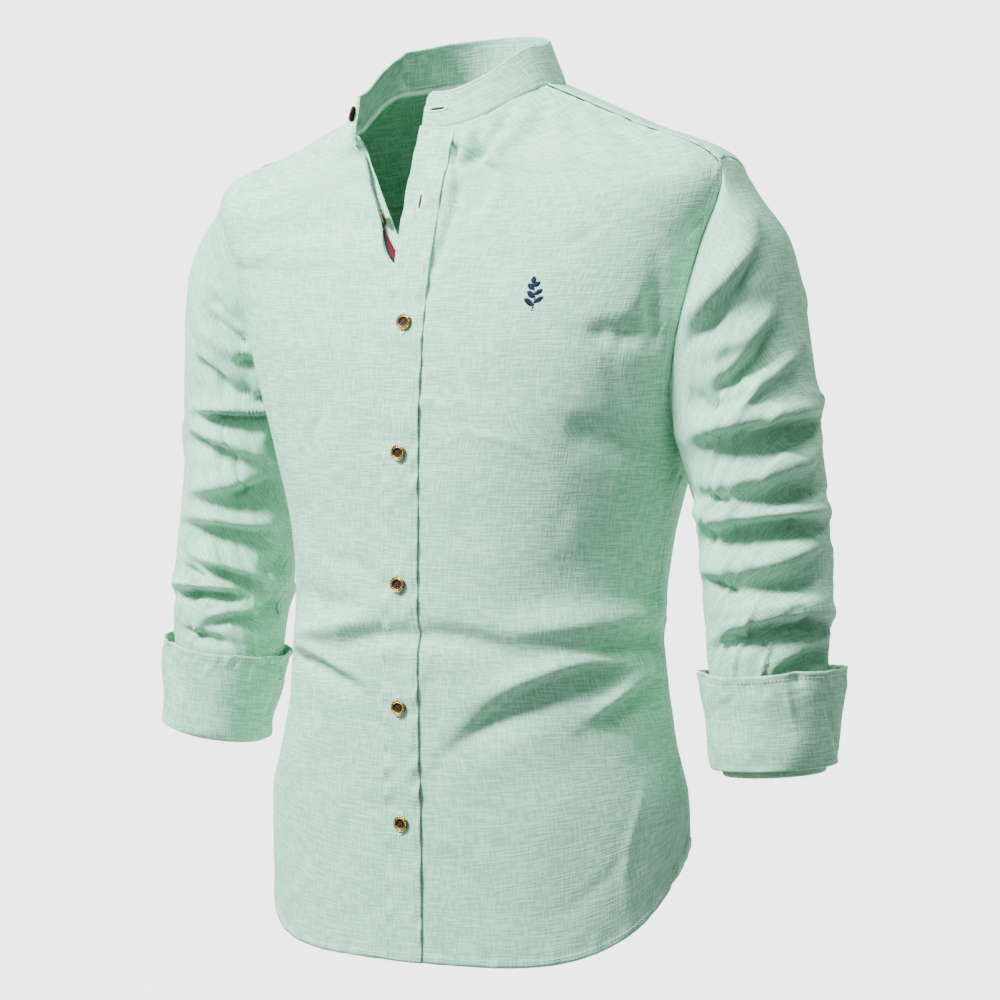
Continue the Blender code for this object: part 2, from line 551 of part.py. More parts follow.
def back_panel(colour):
    t = np.append(ROWS[ROWS < YOKE_RING - 0.1], YOKE_RING - 0.01)
    turns, rings = grid(back_edge(t), 360 - back_edge(t), 19, t)
    cloth("back", wrapped(turns, rings), colour)


def yoke_panel(colour):
    """The yoke over both shoulders. Its lower edge follows the armhole at each side."""
    shoulder = np.array([YOKE_TURN + SEAM, 84, 86, 88, 91, 95, 99, 103.5, 106.5])
    turns = np.concatenate([shoulder, np.linspace(118, 242, 9), (360 - shoulder)[::-1]])
    size = np.where(turns > 180, 360 - turns, turns)
    top = along(ARMHOLE, np.linspace(7, 11.01, 60), closed=True)
    top = top[np.argsort(top[:, 0])]
    low = np.where(size < 106.5, np.interp(size, 90 + top[:, 0], top[:, 1]), YOKE_RING) + 0.018
    rings = low[:, None] + (TOP - low[:, None]) * np.linspace(0, 1, 6)
    turns = np.broadcast_to(turns[:, None], rings.shape)
    cloth("yoke", wrapped(turns, rings), colour)


def strip(name, sides, out, opens, colour, wall, t):
    """A long strip on the front, its columns this far to the side of the middle."""
    turns = np.stack([turn_at(x, t) for x in sides])
    rings = np.broadcast_to(t, turns.shape)
    return cloth(name, body(turns, rings, out, opens), colour, wall)


def ring_at(height):
    """The ring number that has this height at the front."""
    rings = np.linspace(0, NECK, 401)
    return float(np.interp(height, along(RINGS, rings)[:, 0], rings))


def front_strips(shirting, tape):
    over = (-STRIP_HALF, -0.008, 0.0, 0.008, 0.0165)
    under = (-0.017, TUCK[0], -0.001, TUCK[1], 0.015)
    middle = (RIBBON[0], -0.001, RIBBON[1])
    t = np.append(STRIP_ROWS, NECK - 0.03)
    strip("placket_left", over, STRIP_OUT, False, shirting, 0.0014, t)
    strip("placket_right", under, STAND_OUT, True, shirting, CLOTH, t)
    t = t[(t > 0.1) & (t < ring_at(RIBBON_TOP))]
    strip("ribbon", middle, STAND_OUT + 0.0017, True, tape, 0.0005, t)


def sleeves(colour):
    """Each sleeve is a tube from the armhole; its end is turned up outside, under the cuff."""
    around = np.arange(28) / 28
    down = np.concatenate([[0.0, 0.03, 0.07, 0.12], np.linspace(0.17, 0.90, 20), [0.95, 1.0]])
    for side, name in ((1, "sleeve_left"), (-1, "sleeve_right")):
        points = sleeve(around[:, None], down[None, :], side)
        end = points[:, -1]
        away = end - end.mean(axis=0)
        away = away / np.linalg.norm(away, axis=1, keepdims=True)
        turn_up = [(0.0007, -0.0010), (0.0020, 0.0), (0.0022, 0.0065)]
        turned = [end + away * out + np.array([0, 0, up]) for out, up in turn_up]
        points = np.concatenate([points, np.stack(turned, 1)], axis=1)
        cloth(name, points, colour, ring=True, flip=side == 1)


def cuffs(colour):
    place, up = np.linspace(0, 1, 29)[:, None], np.linspace(0, 1, 5)[None, :]
    for side, name in ((1, "cuff_left"), (-1, "cuff_right")):
        cloth(name, cuff(place, up, side), colour, flip=side == -1)


def neck_band(colour):
    place, up = np.linspace(0, 1, 37)[:, None], np.array([0.018, 0.35, 0.68, 0.93, 1.0])[None, :]
    cloth("neck_band", band(place, up, 0.0012), colour, 0.0020)


def button(name, spot, face, colour):
    """A turned button: its outline from the middle of the front face out and round to the back."""
    edge = BUTTON_ACROSS / 2
    outline = ((0, 0.0016), (0.58 * edge, 0.0016), (0.69 * edge, 0.0026), (0.92 * edge, 0.0026))
    outline += ((edge, 0.0017), (0.94 * edge, 0.0004), (0.69 * edge, 0), (0, 0))
    mesh = bpy.data.meshes.new(name)
    mesh.from_pydata([(r, 0, z) for r, z in outline], [(k, k + 1) for k in range(len(outline) - 1)], [])
    mesh.materials.append(paint(name, *colour))
    obj = bpy.data.objects.new(name, mesh)
    shirt.objects.link(obj)
    turned = obj.modifiers.new("turn", "SCREW")
    turned.steps = turned.render_steps = 14
    turned.use_merge_vertices = True
    turned.merge_threshold = 0.0001
    obj.location = tuple(spot - np.array([0, 0, HANG]))
    obj.rotation_mode = "QUATERNION"
    obj.rotation_quaternion = Vector(tuple(face)).to_track_quat("Z", "Y")


def on_front(x, height, out, opens):
    """The spot at this height on the front, and which way it faces."""
    rings = np.linspace(0, NECK, 801)
    heights = body(turn_at(x, rings), rings, 0, opens)[:, 2]
    t = float(np.interp(height, heights, rings))
    turn = float(turn_at(x, t))
    near, far = body(turn, t, out, opens), body(turn, t, out + 0.01, opens)
    return near, far - near


def buttons(colour):
    for number, height in enumerate(BUTTON_HEIGHTS):
        spot, face = on_front(0.0, height, STRIP_OUT + 0.0004, False)
        button(f"button_{number + 1}", spot, face, colour)
    spot, face = on_front(-0.001, SECOND_BUTTON, STAND_OUT + 0.0026, True)
    button("button_6", spot - 0.0050 * np.array(TUCK_BACK), face, colour)
    near, far = band(0.972, 0.50, 0.0016), band(0.972, 0.50, 0.01)
    button("button_7", near, far - near, colour)


clear_scene()
shirt = bpy.data.collections.new("band_collar_shirt")
bpy.context.scene.collection.children.link(shirt)
SHIRTING = ((0.50, 0.70, 0.58), 0.9)  # colour, roughness
TAPE = ((0.35, 0.03, 0.05), 0.7)
BRASS = ((0.45, 0.30, 0.10), 0.35, 0.9)  # colour, roughness, metallic
front_panels(SHIRTING)
back_panel(SHIRTING)
yoke_panel(SHIRTING)
front_strips(SHIRTING, TAPE)
sleeves(SHIRTING)
cuffs(SHIRTING)
neck_band(SHIRTING)
buttons(BRASS)
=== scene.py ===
# %% [markdown]
# # A band-collar shirt, worn and empty
#
# This notebook dresses the plain solids of a button-up shirt as the real garment: thin cloth with
# its folds, a slub weave, topstitching, buttonholes, brass buttons and a striped ribbon.
# The first cell loads the solids. They are the frame: every piece made here sits where they are.

# %% Load the frame
import json
from collections import namedtuple

import bmesh
import bpy
import numpy as np
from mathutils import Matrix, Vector

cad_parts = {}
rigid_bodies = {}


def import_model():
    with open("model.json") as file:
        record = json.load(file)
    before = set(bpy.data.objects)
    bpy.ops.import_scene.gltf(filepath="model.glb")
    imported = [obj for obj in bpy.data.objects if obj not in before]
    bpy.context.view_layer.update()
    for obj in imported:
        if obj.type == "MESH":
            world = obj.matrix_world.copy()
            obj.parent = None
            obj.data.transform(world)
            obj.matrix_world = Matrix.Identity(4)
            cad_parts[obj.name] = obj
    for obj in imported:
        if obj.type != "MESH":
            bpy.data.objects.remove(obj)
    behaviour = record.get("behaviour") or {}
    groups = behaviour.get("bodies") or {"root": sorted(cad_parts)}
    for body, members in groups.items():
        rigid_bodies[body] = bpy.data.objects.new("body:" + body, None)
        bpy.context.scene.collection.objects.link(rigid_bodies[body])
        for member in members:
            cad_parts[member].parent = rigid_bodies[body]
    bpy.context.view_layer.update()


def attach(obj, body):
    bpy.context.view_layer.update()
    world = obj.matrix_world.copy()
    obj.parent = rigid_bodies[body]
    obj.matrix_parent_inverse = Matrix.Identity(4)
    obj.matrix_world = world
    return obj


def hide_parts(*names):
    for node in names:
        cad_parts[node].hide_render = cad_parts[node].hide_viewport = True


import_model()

# %% [markdown]
# ## Camera, light and floor
#
# The camera stands 3 m away, 30 degrees towards the wearer's left, a little above the shirt's middle,
# with a 135 mm lens, as a shop photographer would. The floor is a wide dish whose rim curves up on
# every side, so no horizon shows. Only the part of it behind the shirt glows, as a lit backdrop does.
# The light is one strong soft lamp high on the camera's left, a weak one by the camera and one
# overhead. The rest of the room stays dim, so that the folds keep their shadows.

# %% The camera
UPRIGHT = np.array([0, 0, 1.0])


def put(name, data):
    """A new object of this mesh, lamp or camera, in the scene."""
    obj = bpy.data.objects.new(name, data)
    bpy.context.scene.collection.objects.link(obj)
    return obj


TURN = np.radians(30)
RIGHT = Vector((np.cos(TURN), np.sin(TURN), 0))
BACK = Vector((-np.sin(TURN), np.cos(TURN), 0))
AIM = RIGHT * 0.018 + Vector((0, 0, -0.300))
camera_data = bpy.data.cameras.new("camera")
camera_data.lens = 135
camera_data.sensor_width = 36
camera_data.clip_start = 0.1
camera = put("camera", camera_data)
camera.location = AIM - BACK * 3.0 + Vector((0, 0, 0.185))
camera.rotation_mode = "QUATERNION"
camera.rotation_quaternion = (AIM - camera.location).to_track_quat("-Z", "Y")
bpy.context.scene.camera = camera
print("camera", tuple(round(v, 3) for v in camera.location))


# %% Lamps and room light
def lamp(name, place, power, size, colour):
    """A square soft lamp at this place, turned to the middle of the shirt."""
    data = bpy.data.lights.new(name, "AREA")
    data.energy = power
    data.size = size
    data.color = colour
    obj = put(name, data)
    obj.location = place
    obj.rotation_mode = "QUATERNION"
    obj.rotation_quaternion = (AIM - place).to_track_quat("-Z", "Y")


def beside(right, back, up):
    """A place given as the photographer sees it, in metres from the shirt's middle."""
    return AIM + RIGHT * right + BACK * back + Vector((0, 0, up))


KEY_POWER, FRONT_POWER, TOP_POWER = 345, 14, 78  # watts
ROOM_LIGHT = 0.045
BACKDROP_GLOW = 3.6
DAYLIGHT = (0.95, 1.0, 0.99)
lamp("key_lamp", beside(-1.80, -1.15, 2.0), KEY_POWER, 0.8, DAYLIGHT)
lamp("front_lamp", beside(-1.2, -2.4, 0.9), FRONT_POWER, 1.6, (1.0, 1.0, 1.0))
lamp("top_lamp", beside(0.6, -0.7, 2.7), TOP_POWER, 1.0, DAYLIGHT)
room = bpy.data.worlds.new("room")
bpy.context.scene.world = room
room.use_nodes = True
around = room.node_tree.nodes["Background"]
around.inputs["Color"].default_value = (0.93, 0.96, 0.95, 1)
around.inputs["Strength"].default_value = ROOM_LIGHT

# %% [markdown]
# ## Shader maths
#
# Materials are written as Python expressions. `Tone` wraps one output of a node; adding, multiplying
# or comparing tones adds the Math nodes for it. Colours are mixed with Mix nodes, because a Math node
# would turn them grey.

# %% A socket that does maths
class Tone:
    """One number, colour or vector that changes over a surface."""

    def __init__(self, tree, socket):
        self.tree = tree
        self.socket = socket

    def node(self, kind, settings=None, **inputs):
        """A node of this type, its settings made first, then its inputs by name (or input_0, input_1)."""
        made = self.tree.nodes.new(kind)
        for key, value in (settings or {}).items():
            setattr(made, key, value)
        for key, value in inputs.items():
            where = int(key[6:]) if key.startswith("input_") else key.replace("_", " ")
            self.feed(made.inputs[where], value)
        return made

    def feed(self, socket, value):
        if isinstance(value, Tone):
            self.tree.links.new(value.socket, socket)
        elif value is not None:
            socket.default_value = value

    def out(self, made, which=0):
        return Tone(self.tree, made.outputs[which])

    def made(self, kind, settings=None, which=0, **inputs):
        """One output of a new node."""
        return self.out(self.node(kind, settings, **inputs), which)

    def maths(self, operation, a, b=None):
        return self.made("ShaderNodeMath", {"operation": operation}, input_0=a, input_1=b)

    def __add__(self, other):
        return self.maths("ADD", self, other)

    def __sub__(self, other):
        return self.maths("SUBTRACT", self, other)

    def __rsub__(self, other):
        return self.maths("SUBTRACT", other, self)

    def __mul__(self, other):
        return self.maths("MULTIPLY", self, other)

    def __gt__(self, other):
        return self.maths("GREATER_THAN", self, other)

    def __lt__(self, other):
        return self.maths("LESS_THAN", self, other)

    def __abs__(self):
        return self.maths("ABSOLUTE", self)

    __radd__ = __add__
    __rmul__ = __mul__

    def between(self, low, high, first=0.0, last=1.0):
        """Rises smoothly from first at low to last at high."""
        limits = dict(From_Min=low, From_Max=high, To_Min=first, To_Max=last)
        return self.made("ShaderNodeMapRange", {"interpolation_type": "SMOOTHSTEP"}, Value=self, **limits)

    def blend(self, first, second):
        """This tone picks between two colours."""
        settings = {"data_type": "RGBA", "clamp_factor": True}
        return self.made("ShaderNodeMix", settings, 2, input_0=self, input_6=first, input_7=second)


def new_material(name, roughness, metallic=0.0):
    """A material, its shader node and a Tone to start from."""
    made = bpy.data.materials.new(name)
    made.use_nodes = True
    shader = made.node_tree.nodes["Principled BSDF"]
    shader.inputs["Roughness"].default_value = roughness
    shader.inputs["Metallic"].default_value = metallic
    return made, shader, Tone(made.node_tree, None)


def grey(value):
    return (value, value, value, 1)


# %% The floor
FLOOR = -0.95
FLAT, CURVE, RIM = 5.0, 2.5, 8.0  # how wide its flat part is, how round its foot, how high its rim
dish = bmesh.new()
outline = [(0.0, FLOOR), (FLAT, FLOOR)]
for angle in np.linspace(0.1, np.pi / 2, 14):
    outline.append((FLAT + CURVE * np.sin(angle), FLOOR + CURVE - CURVE * np.cos(angle)))
outline.append((FLAT + CURVE, RIM))
corners = [dish.verts.new((r, 0, z)) for r, z in outline]
edges = [dish.edges.new(pair) for pair in zip(corners, corners[1:])]
turned = dict(cent=(0, 0, 0), axis=(0, 0, 1), angle=2 * np.pi, steps=64, use_merge=True)
bmesh.ops.spin(dish, geom=corners + edges, **turned)
bmesh.ops.recalc_face_normals(dish, faces=dish.faces)
floor_mesh = bpy.data.meshes.new("studio_floor")
dish.to_mesh(floor_mesh)
dish.free()
floor_mesh.shade_smooth()
floor = put("studio_floor", floor_mesh)
pale, shader, start = new_material("studio_floor", 1.0)
shader.inputs["Base Color"].default_value = grey(0.14)
shader.inputs["Specular IOR Level"].default_value = 0.0
shader.inputs["Emission Strength"].default_value = BACKDROP_GLOW
place = start.made("ShaderNodeNewGeometry")
behind, across = (
    start.made("ShaderNodeVectorMath", {"operation": "DOT_PRODUCT"}, 1, input_0=place, input_1=way)
    for way in (BACK, RIGHT)
)
lit = behind.between(-0.5, 1.0) * abs(across).between(1.9, 4.0, 1.0, 0.0)
start.feed(shader.inputs["Emission Color"], lit.blend(grey(0.032), grey(1.0)))
floor_mesh.materials.append(pale)
print("floor at", FLOOR, "m")

# %% [markdown]
# ## The shirt's measurements
#
# A pattern maker works from measurements, and so does this notebook. The body is a stack of rings
# from the hem to the neckline. The arms are rings along a bent middle line. A smooth curve through
# the rows of each table fills in what lies between them.

# %% Sizes of the pieces, in metres
HANG = 0.655  # the tables measure up from the hem; the solids hang this far below the shoulders
SEAM = 0.2  # half the gap between two panels at a seam, in degrees of turn
STRIP_HALF = 0.016  # the buttonhole strip is twice this wide
STAND_OUT = -0.0012  # the button stand's face lies this far inside
RIBBON = (-0.0065, 0.0045)  # where the ribbon's two edges lie, to the side of the front's middle
TUCK = (-0.0075, 0.0055)  # and the two edges of the fold that it lies in
YOKE_RING = 7.55  # where the back seam of the yoke lies
YOKE_TURN = 82.0  # where its front seam lies, in degrees from the front
BUTTON_ACROSS = 0.013
BUTTON_HEIGHTS = (0.109, 0.200, 0.296, 0.398, 0.4985)  # fastened buttons
SECOND_BUTTON = 0.580  # the open second button, on the ribbon
RIBBON_TOP = 0.630
print("strip", 2 * STRIP_HALF, "m wide, buttons", BUTTON_ACROSS, "m across")


def rows_of(kind, *rows):
    """A table: every row as one of this kind."""
    return [kind(*row) for row in rows]


# %% The body's rings
# The body, one row per ring from the hem up: heights at the front, side and back, half width,
# y of the sides, of the front and of the back, and squareness of the ring (2 is an ellipse).
Ring = namedtuple("Ring", "front_z side_z back_z half side_y front_y back_y square")
RINGS = rows_of(
    Ring,
    (0.000, 0.096, 0.000, 0.183, 0.004, -0.114, 0.112, 2.00),  # hem
    (0.095, 0.125, 0.095, 0.181, 0.004, -0.115, 0.108, 2.05),
    (0.180, 0.180, 0.180, 0.166, 0.006, -0.118, 0.104, 2.10),
    (0.260, 0.260, 0.260, 0.156, 0.009, -0.120, 0.103, 2.15),  # waist
    (0.330, 0.330, 0.330, 0.160, 0.013, -0.119, 0.118, 2.20),
    (0.412, 0.410, 0.412, 0.180, 0.013, -0.118, 0.130, 2.35),  # armpit
    (0.485, 0.490, 0.495, 0.200, 0.006, -0.112, 0.130, 2.50),
    (0.550, 0.560, 0.565, 0.217, 0.002, -0.098, 0.121, 2.50),
    (0.595, 0.622, 0.622, 0.225, 0.000, -0.083, 0.102, 2.30),  # shoulder point
    (0.625, 0.655, 0.661, 0.145, 0.004, -0.072, 0.088, 2.10),
    (0.650, 0.685, 0.693, 0.066, 0.008, -0.062, 0.074, 2.00),  # neckline
)
NECK = len(RINGS) - 1
# Hem heights, evenly spaced: from the front to the side seam, and from the back to the side seam.
HEM_FRONT = (0.0, 0.0, 0.0, 0.0005, 0.003, 0.009, 0.019, 0.033, 0.052, 0.075, 0.089)
HEM_BACK = (0.0, 0.001, 0.004, 0.010, 0.019, 0.031, 0.046, 0.062, 0.077, 0.086, 0.089)
SIDE_Z = 0.096
SEAM_HEM, SEAM_ARMPIT = 99.0, 90.0  # where the side seam stands, in degrees from the front
RIGHT_DROP = 0.015  # the wearer's right shoulder hangs this much lower

# The open neck: how far the right front's neckline moves as it falls open.
Fall = namedtuple("Fall", "turn x y z")
FALLS = rows_of(
    Fall,
    (15.0, -0.084, -0.013, -0.006),
    (0.0, -0.075, -0.005, -0.003),
    (-30.0, -0.046, 0.006, -0.007),
    (-60.0, -0.018, 0.007, -0.005),
    (-90.0, -0.003, 0.0, -0.003),
    (-120.0, 0.0, 0.0, 0.0),
)
V_LOW, V_HIGH = 0.540, 0.650  # the heights between which the front falls open
# There the button stand folds back along the ribbon, away from the wearer's left, so the ribbon hides
# in the fold.
TUCK_TURN = 80.0  # how far the ribbon's strip of the stand turns back, in degrees
TUCK_LOW, TUCK_FULL, TUCK_TOP = 0.532, 0.580, 0.628  # where the fold starts, is full, and starts to close
TUCK_ACROSS = (0.866, 0.5, 0.0)  # the way across the fold, level
TUCK_BACK = (-0.5, 0.866, 0.0)  # the way into the fold
print("rings of the body:", len(RINGS))

# %% The armhole, arms and cuffs
# The armhole round the left arm, from the armpit by the front: turn from the side, ring number.
Hole = namedtuple("Hole", "turn ring")
ARMHOLE = rows_of(
    Hole,
    (0.0, 5.00), (-6.5, 5.10), (-11.5, 5.38), (-14.5, 5.90), (-14.5, 6.50), (-12.5, 7.10),
    (-10.5, 7.60), (-8.0, 7.97), (-3.0, 8.06), (4.0, 8.05), (11.0, 7.90), (16.0, 7.55),
    (19.0, 7.10), (20.0, 6.50), (19.0, 5.90), (15.0, 5.38), (8.0, 5.10),
)
YOKE_CORNER = ARMHOLE[7].ring  # where the yoke's front seam meets the armhole
# An arm's middle line from the shoulder down, with half widths across and front to back.
Arm = namedtuple("Arm", "x y z across deep")
ARM = rows_of(
    Arm,
    (0.198, 0.002, 0.620, 0.056, 0.060),
    (0.211, 0.008, 0.560, 0.057, 0.062),
    (0.222, 0.014, 0.500, 0.056, 0.061),
    (0.231, 0.020, 0.430, 0.054, 0.059),
    (0.239, 0.024, 0.370, 0.051, 0.055),
    (0.246, 0.024, 0.310, 0.051, 0.053),
    (0.250, 0.018, 0.250, 0.0475, 0.049),
    (0.252, 0.016, 0.215, 0.044, 0.045),
    (0.2588, 0.0125, 0.152, 0.037, 0.038),
)
SLEEVE_END = 0.1525
# The cuffs of the wearer's left (1) and right (-1) arm, at the fold and at the free edge.
CUFFS = {
    1: (Arm(0.2575, 0.013, 0.158, 0.0475, 0.047), Arm(0.254, 0.016, 0.231, 0.057, 0.052)),
    -1: (Arm(0.2605, 0.0125, 0.156, 0.0445, 0.046), Arm(0.252, 0.0165, 0.226, 0.050, 0.0545)),
}
CUFF_START = {1: 118.0, -1: 128.0}  # where the cuff's under end lies
CUFF_LAP = 22.0  # how far its two ends lap, in degrees
TILT = {1: 0.06, -1: 0.16}  # how much the outer side of each arm's end stands higher
print("rings of the arm:", len(ARM))

# %% The neck band
# The neck band from its left end by the back to its right end; lean is inwards for each height.
BandPlace = namedtuple("BandPlace", "turn height lean")
BAND = rows_of(
    BandPlace,
    (-13.0, 0.0285, 0.22),
    (30.0, 0.0305, 0.34),
    (75.0, 0.0315, 0.56),
    (120.0, 0.0330, 0.42),
    (180.0, 0.0350, 0.04),
    (240.0, 0.0345, 0.16),
    (285.0, 0.0330, 0.24),
    (330.0, 0.0310, 0.22),
    (373.0, 0.0285, 0.22),
)
print("band from", BAND[0].turn, "to", BAND[-1].turn, "degrees")

# %% [markdown]
# ## Folds
#
# Cloth that is pushed up an arm bunches into rings of ridges and hollows, sharp on the side where it
# hangs over and soft on the other. Each row here is one ridge or hollow: where it runs from and to,
# how much its middle is raised, how far it stands out or in, and how wide it is above and below.

# %% The table of folds
# Each fold runs from one place (degrees, height) to another, its middle raised by bow. It stands out
# this far (in, if minus) and has this width above and below its line.
Fold = namedtuple("Fold", "angle height to_angle to_height bow out above below")
BODY_FOLDS = rows_of(
    Fold,
    (105, 0.272, 25, 0.260, 0.001, 0.004, 0.014, 0.008),  # waist ridge from the left side
    (100, 0.248, 55, 0.244, 0.005, -0.0045, 0.008, 0.009),  # hollow under it
    (-25, 0.240, 40, 0.240, 0.018, -0.003, 0.008, 0.009),  # hollow across the strip
    (80, 0.232, 20, 0.204, 0.014, 0.004, 0.012, 0.006),  # ridge over the long hollow
    (75, 0.224, 10, 0.158, 0.027, -0.005, 0.006, 0.015),  # the long hollow
    (90, 0.230, 55, 0.190, 0.005, 0.004, 0.009, 0.006),  # ridge below it
    (95, 0.222, 55, 0.186, 0.001, -0.003, 0.006, 0.012),  # hollow below that
    (-55, 0.248, -5, 0.272, -0.004, 0.0035, 0.010, 0.008),  # right waist ridge
    (-50, 0.284, -10, 0.272, 0.000, -0.002, 0.008, 0.008),  # hollow above it
    (-55, 0.228, -10, 0.208, 0.010, -0.003, 0.005, 0.008),  # right waist crease
    (-55, 0.236, -10, 0.216, 0.011, 0.0025, 0.006, 0.005),  # ridge over the crease
    (40, 0.492, 65, 0.486, 0.003, -0.0025, 0.008, 0.010),  # front chest hollow
    (40, 0.424, 75, 0.400, -0.002, -0.0025, 0.009, 0.016),  # side chest hollow
    (60, 0.546, 70, 0.488, -0.018, -0.003, 0.009, 0.009),  # armhole hollow
    (35, 0.654, 5, 0.556, 0.033, -0.0035, 0.006, 0.006),  # neck hollow
    (25, 0.652, 0, 0.582, 0.017, 0.002, 0.005, 0.005),  # ridge left of it
    (40, 0.658, 5, 0.552, 0.033, 0.0025, 0.008, 0.008),  # ridge right of it
    (65, 0.672, 25, 0.628, 0.002, -0.0015, 0.006, 0.006),  # small neck hollow
    (70, 0.652, 55, 0.624, 0.000, -0.0012, 0.005, 0.005),  # yoke crease
    (65, 0.664, 50, 0.640, 0.001, -0.0012, 0.005, 0.005),  # yoke crease
    (-5, 0.588, -5, 0.514, 0.003, -0.0012, 0.005, 0.005),  # right front crease
    (110, 0.262, 190, 0.268, -0.005, 0.004, 0.012, 0.007),  # waist ridge behind
    (205, 0.252, 260, 0.262, 0.008, 0.004, 0.012, 0.007),  # waist ridge behind, right
    (115, 0.240, 180, 0.250, -0.005, -0.004, 0.007, 0.010),  # hollow under it
    (180, 0.246, 255, 0.248, -0.009, -0.003, 0.007, 0.010),  # hollow under it, right
    (130, 0.516, 150, 0.396, 0.000, -0.003, 0.010, 0.010),  # behind the left armhole
    (230, 0.516, 210, 0.396, 0.000, -0.003, 0.010, 0.010),  # behind the right armhole
)
LEFT_FOLDS = rows_of(
    Fold,
    (65, 0.568, -15, 0.486, -0.004, 0.006, 0.013, 0.004),  # sharp ridge off the shoulder
    (65, 0.560, -5, 0.488, -0.003, -0.004, 0.005, 0.009),  # hollow under it
    (70, 0.520, 0, 0.478, -0.010, 0.003, 0.008, 0.007),  # second ridge
    (55, 0.496, -5, 0.452, -0.008, 0.004, 0.008, 0.006),  # third ridge
    (70, 0.508, 0, 0.448, -0.011, -0.006, 0.007, 0.009),  # deep hollow
    (90, 0.486, 5, 0.440, -0.003, 0.004, 0.008, 0.008),  # ridge under the deep hollow
    (-25, 0.448, 20, 0.440, -0.008, -0.004, 0.005, 0.006),  # armpit pocket
    (-40, 0.408, 115, 0.434, 0.006, 0.007, 0.014, 0.006),  # great ridge
    (-25, 0.400, 105, 0.424, 0.004, -0.006, 0.006, 0.015),  # great hollow
    (-35, 0.374, 115, 0.418, -0.010, 0.006, 0.012, 0.009),  # ridge across the elbow
    (-40, 0.368, 5, 0.364, -0.002, -0.004, 0.004, 0.005),  # crease
    (-60, 0.354, 15, 0.360, -0.003, 0.003, 0.007, 0.007),  # bulge at the inside
    (15, 0.356, 115, 0.368, 0.007, -0.004, 0.009, 0.007),  # outer hollow
    (-50, 0.338, 115, 0.352, 0.008, 0.006, 0.009, 0.005),  # ridge of the forearm
    (-50, 0.328, 90, 0.344, 0.007, -0.006, 0.005, 0.012),  # hollow under it
    (-55, 0.308, 100, 0.342, -0.010, 0.006, 0.014, 0.008),  # long forearm ridge
    (-40, 0.300, 5, 0.290, 0.004, -0.004, 0.004, 0.004),  # crease at the inside
    (10, 0.300, 90, 0.300, -0.001, -0.0035, 0.006, 0.009),  # forearm hollow
    (-30, 0.276, 105, 0.294, 0.001, 0.004, 0.010, 0.007),  # lower ridge
    (-30, 0.256, 115, 0.272, 0.012, 0.006, 0.010, 0.004),  # last ridge
    (-35, 0.246, 115, 0.264, 0.013, -0.006, 0.004, 0.009),  # dark hollow under it
    (20, 0.232, 115, 0.262, 0.007, 0.003, 0.009, 0.006),  # slanting ridge at the cuff
    (40, 0.232, 115, 0.246, 0.005, -0.003, 0.006, 0.009),  # hollow beside it
)
RIGHT_FOLDS = rows_of(
    Fold,
    (20, 0.524, -20, 0.492, -0.003, -0.003, 0.004, 0.005),  # upper shoulder crease
    (20, 0.530, -20, 0.496, -0.002, 0.0025, 0.006, 0.004),  # ridge by it
    (15, 0.508, -30, 0.476, -0.003, -0.004, 0.004, 0.005),  # fine crease
    (15, 0.514, -25, 0.484, -0.002, 0.0025, 0.006, 0.004),  # ridge over the fine crease
    (20, 0.500, -35, 0.468, -0.007, 0.0035, 0.007, 0.009),  # bright ridge
    (-15, 0.464, -40, 0.458, 0.002, -0.0035, 0.005, 0.005),  # pocket by the armpit
    (20, 0.464, -20, 0.436, 0.006, -0.005, 0.004, 0.006),  # slanting crease
    (15, 0.472, -25, 0.444, 0.002, 0.0025, 0.007, 0.005),  # ridge over the slanting crease
    (-20, 0.436, -35, 0.440, 0.001, -0.0025, 0.004, 0.004),  # small hollow
    (-30, 0.426, -55, 0.428, 0.005, -0.005, 0.005, 0.005),  # inner pocket
    (25, 0.424, -60, 0.422, 0.001, 0.005, 0.009, 0.004),  # ridge over the great hollow
    (15, 0.420, -65, 0.416, -0.002, -0.0065, 0.005, 0.009),  # great hollow
    (35, 0.398, -30, 0.386, 0.005, -0.005, 0.005, 0.009),  # elbow hollow
    (25, 0.406, -70, 0.382, 0.002, 0.006, 0.014, 0.006),  # elbow ridge
    (-50, 0.388, -70, 0.404, 0.001, -0.004, 0.010, 0.010),  # hollow inside the elbow
    (25, 0.358, -55, 0.376, -0.005, 0.006, 0.012, 0.007),  # ridge above the wide hollow
    (-10, 0.346, -75, 0.362, 0.001, -0.006, 0.006, 0.014),  # wide hollow
    (30, 0.334, -80, 0.328, 0.000, 0.005, 0.012, 0.006),  # ridge below the wide hollow
    (30, 0.328, -75, 0.308, 0.006, -0.006, 0.005, 0.011),  # long slanting hollow
    (15, 0.304, -85, 0.274, 0.003, 0.006, 0.012, 0.004),  # slanting ridge
    (0, 0.296, -75, 0.272, 0.001, -0.005, 0.004, 0.007),  # hollow under it
    (-50, 0.288, -95, 0.288, 0.005, -0.004, 0.008, 0.009),  # inner hollow
    (25, 0.292, -10, 0.280, 0.001, -0.004, 0.004, 0.005),  # outer crease
    (50, 0.276, -50, 0.272, 0.004, 0.005, 0.008, 0.004),  # ridge over the strong crease
    (45, 0.268, -50, 0.268, 0.004, -0.006, 0.004, 0.006),  # strong crease
    (-5, 0.260, -30, 0.258, 0.000, -0.002, 0.004, 0.004),  # soft crease
    (-5, 0.248, -75, 0.250, 0.008, 0.0035, 0.007, 0.004),  # ridge over the bowed crease
    (-5, 0.244, -70, 0.244, 0.008, -0.004, 0.004, 0.006),  # bowed crease
    (-50, 0.256, -95, 0.260, 0.001, -0.004, 0.005, 0.008),  # inner dark hollow
    (25, 0.240, -40, 0.228, 0.001, -0.004, 0.004, 0.005),  # last crease
)
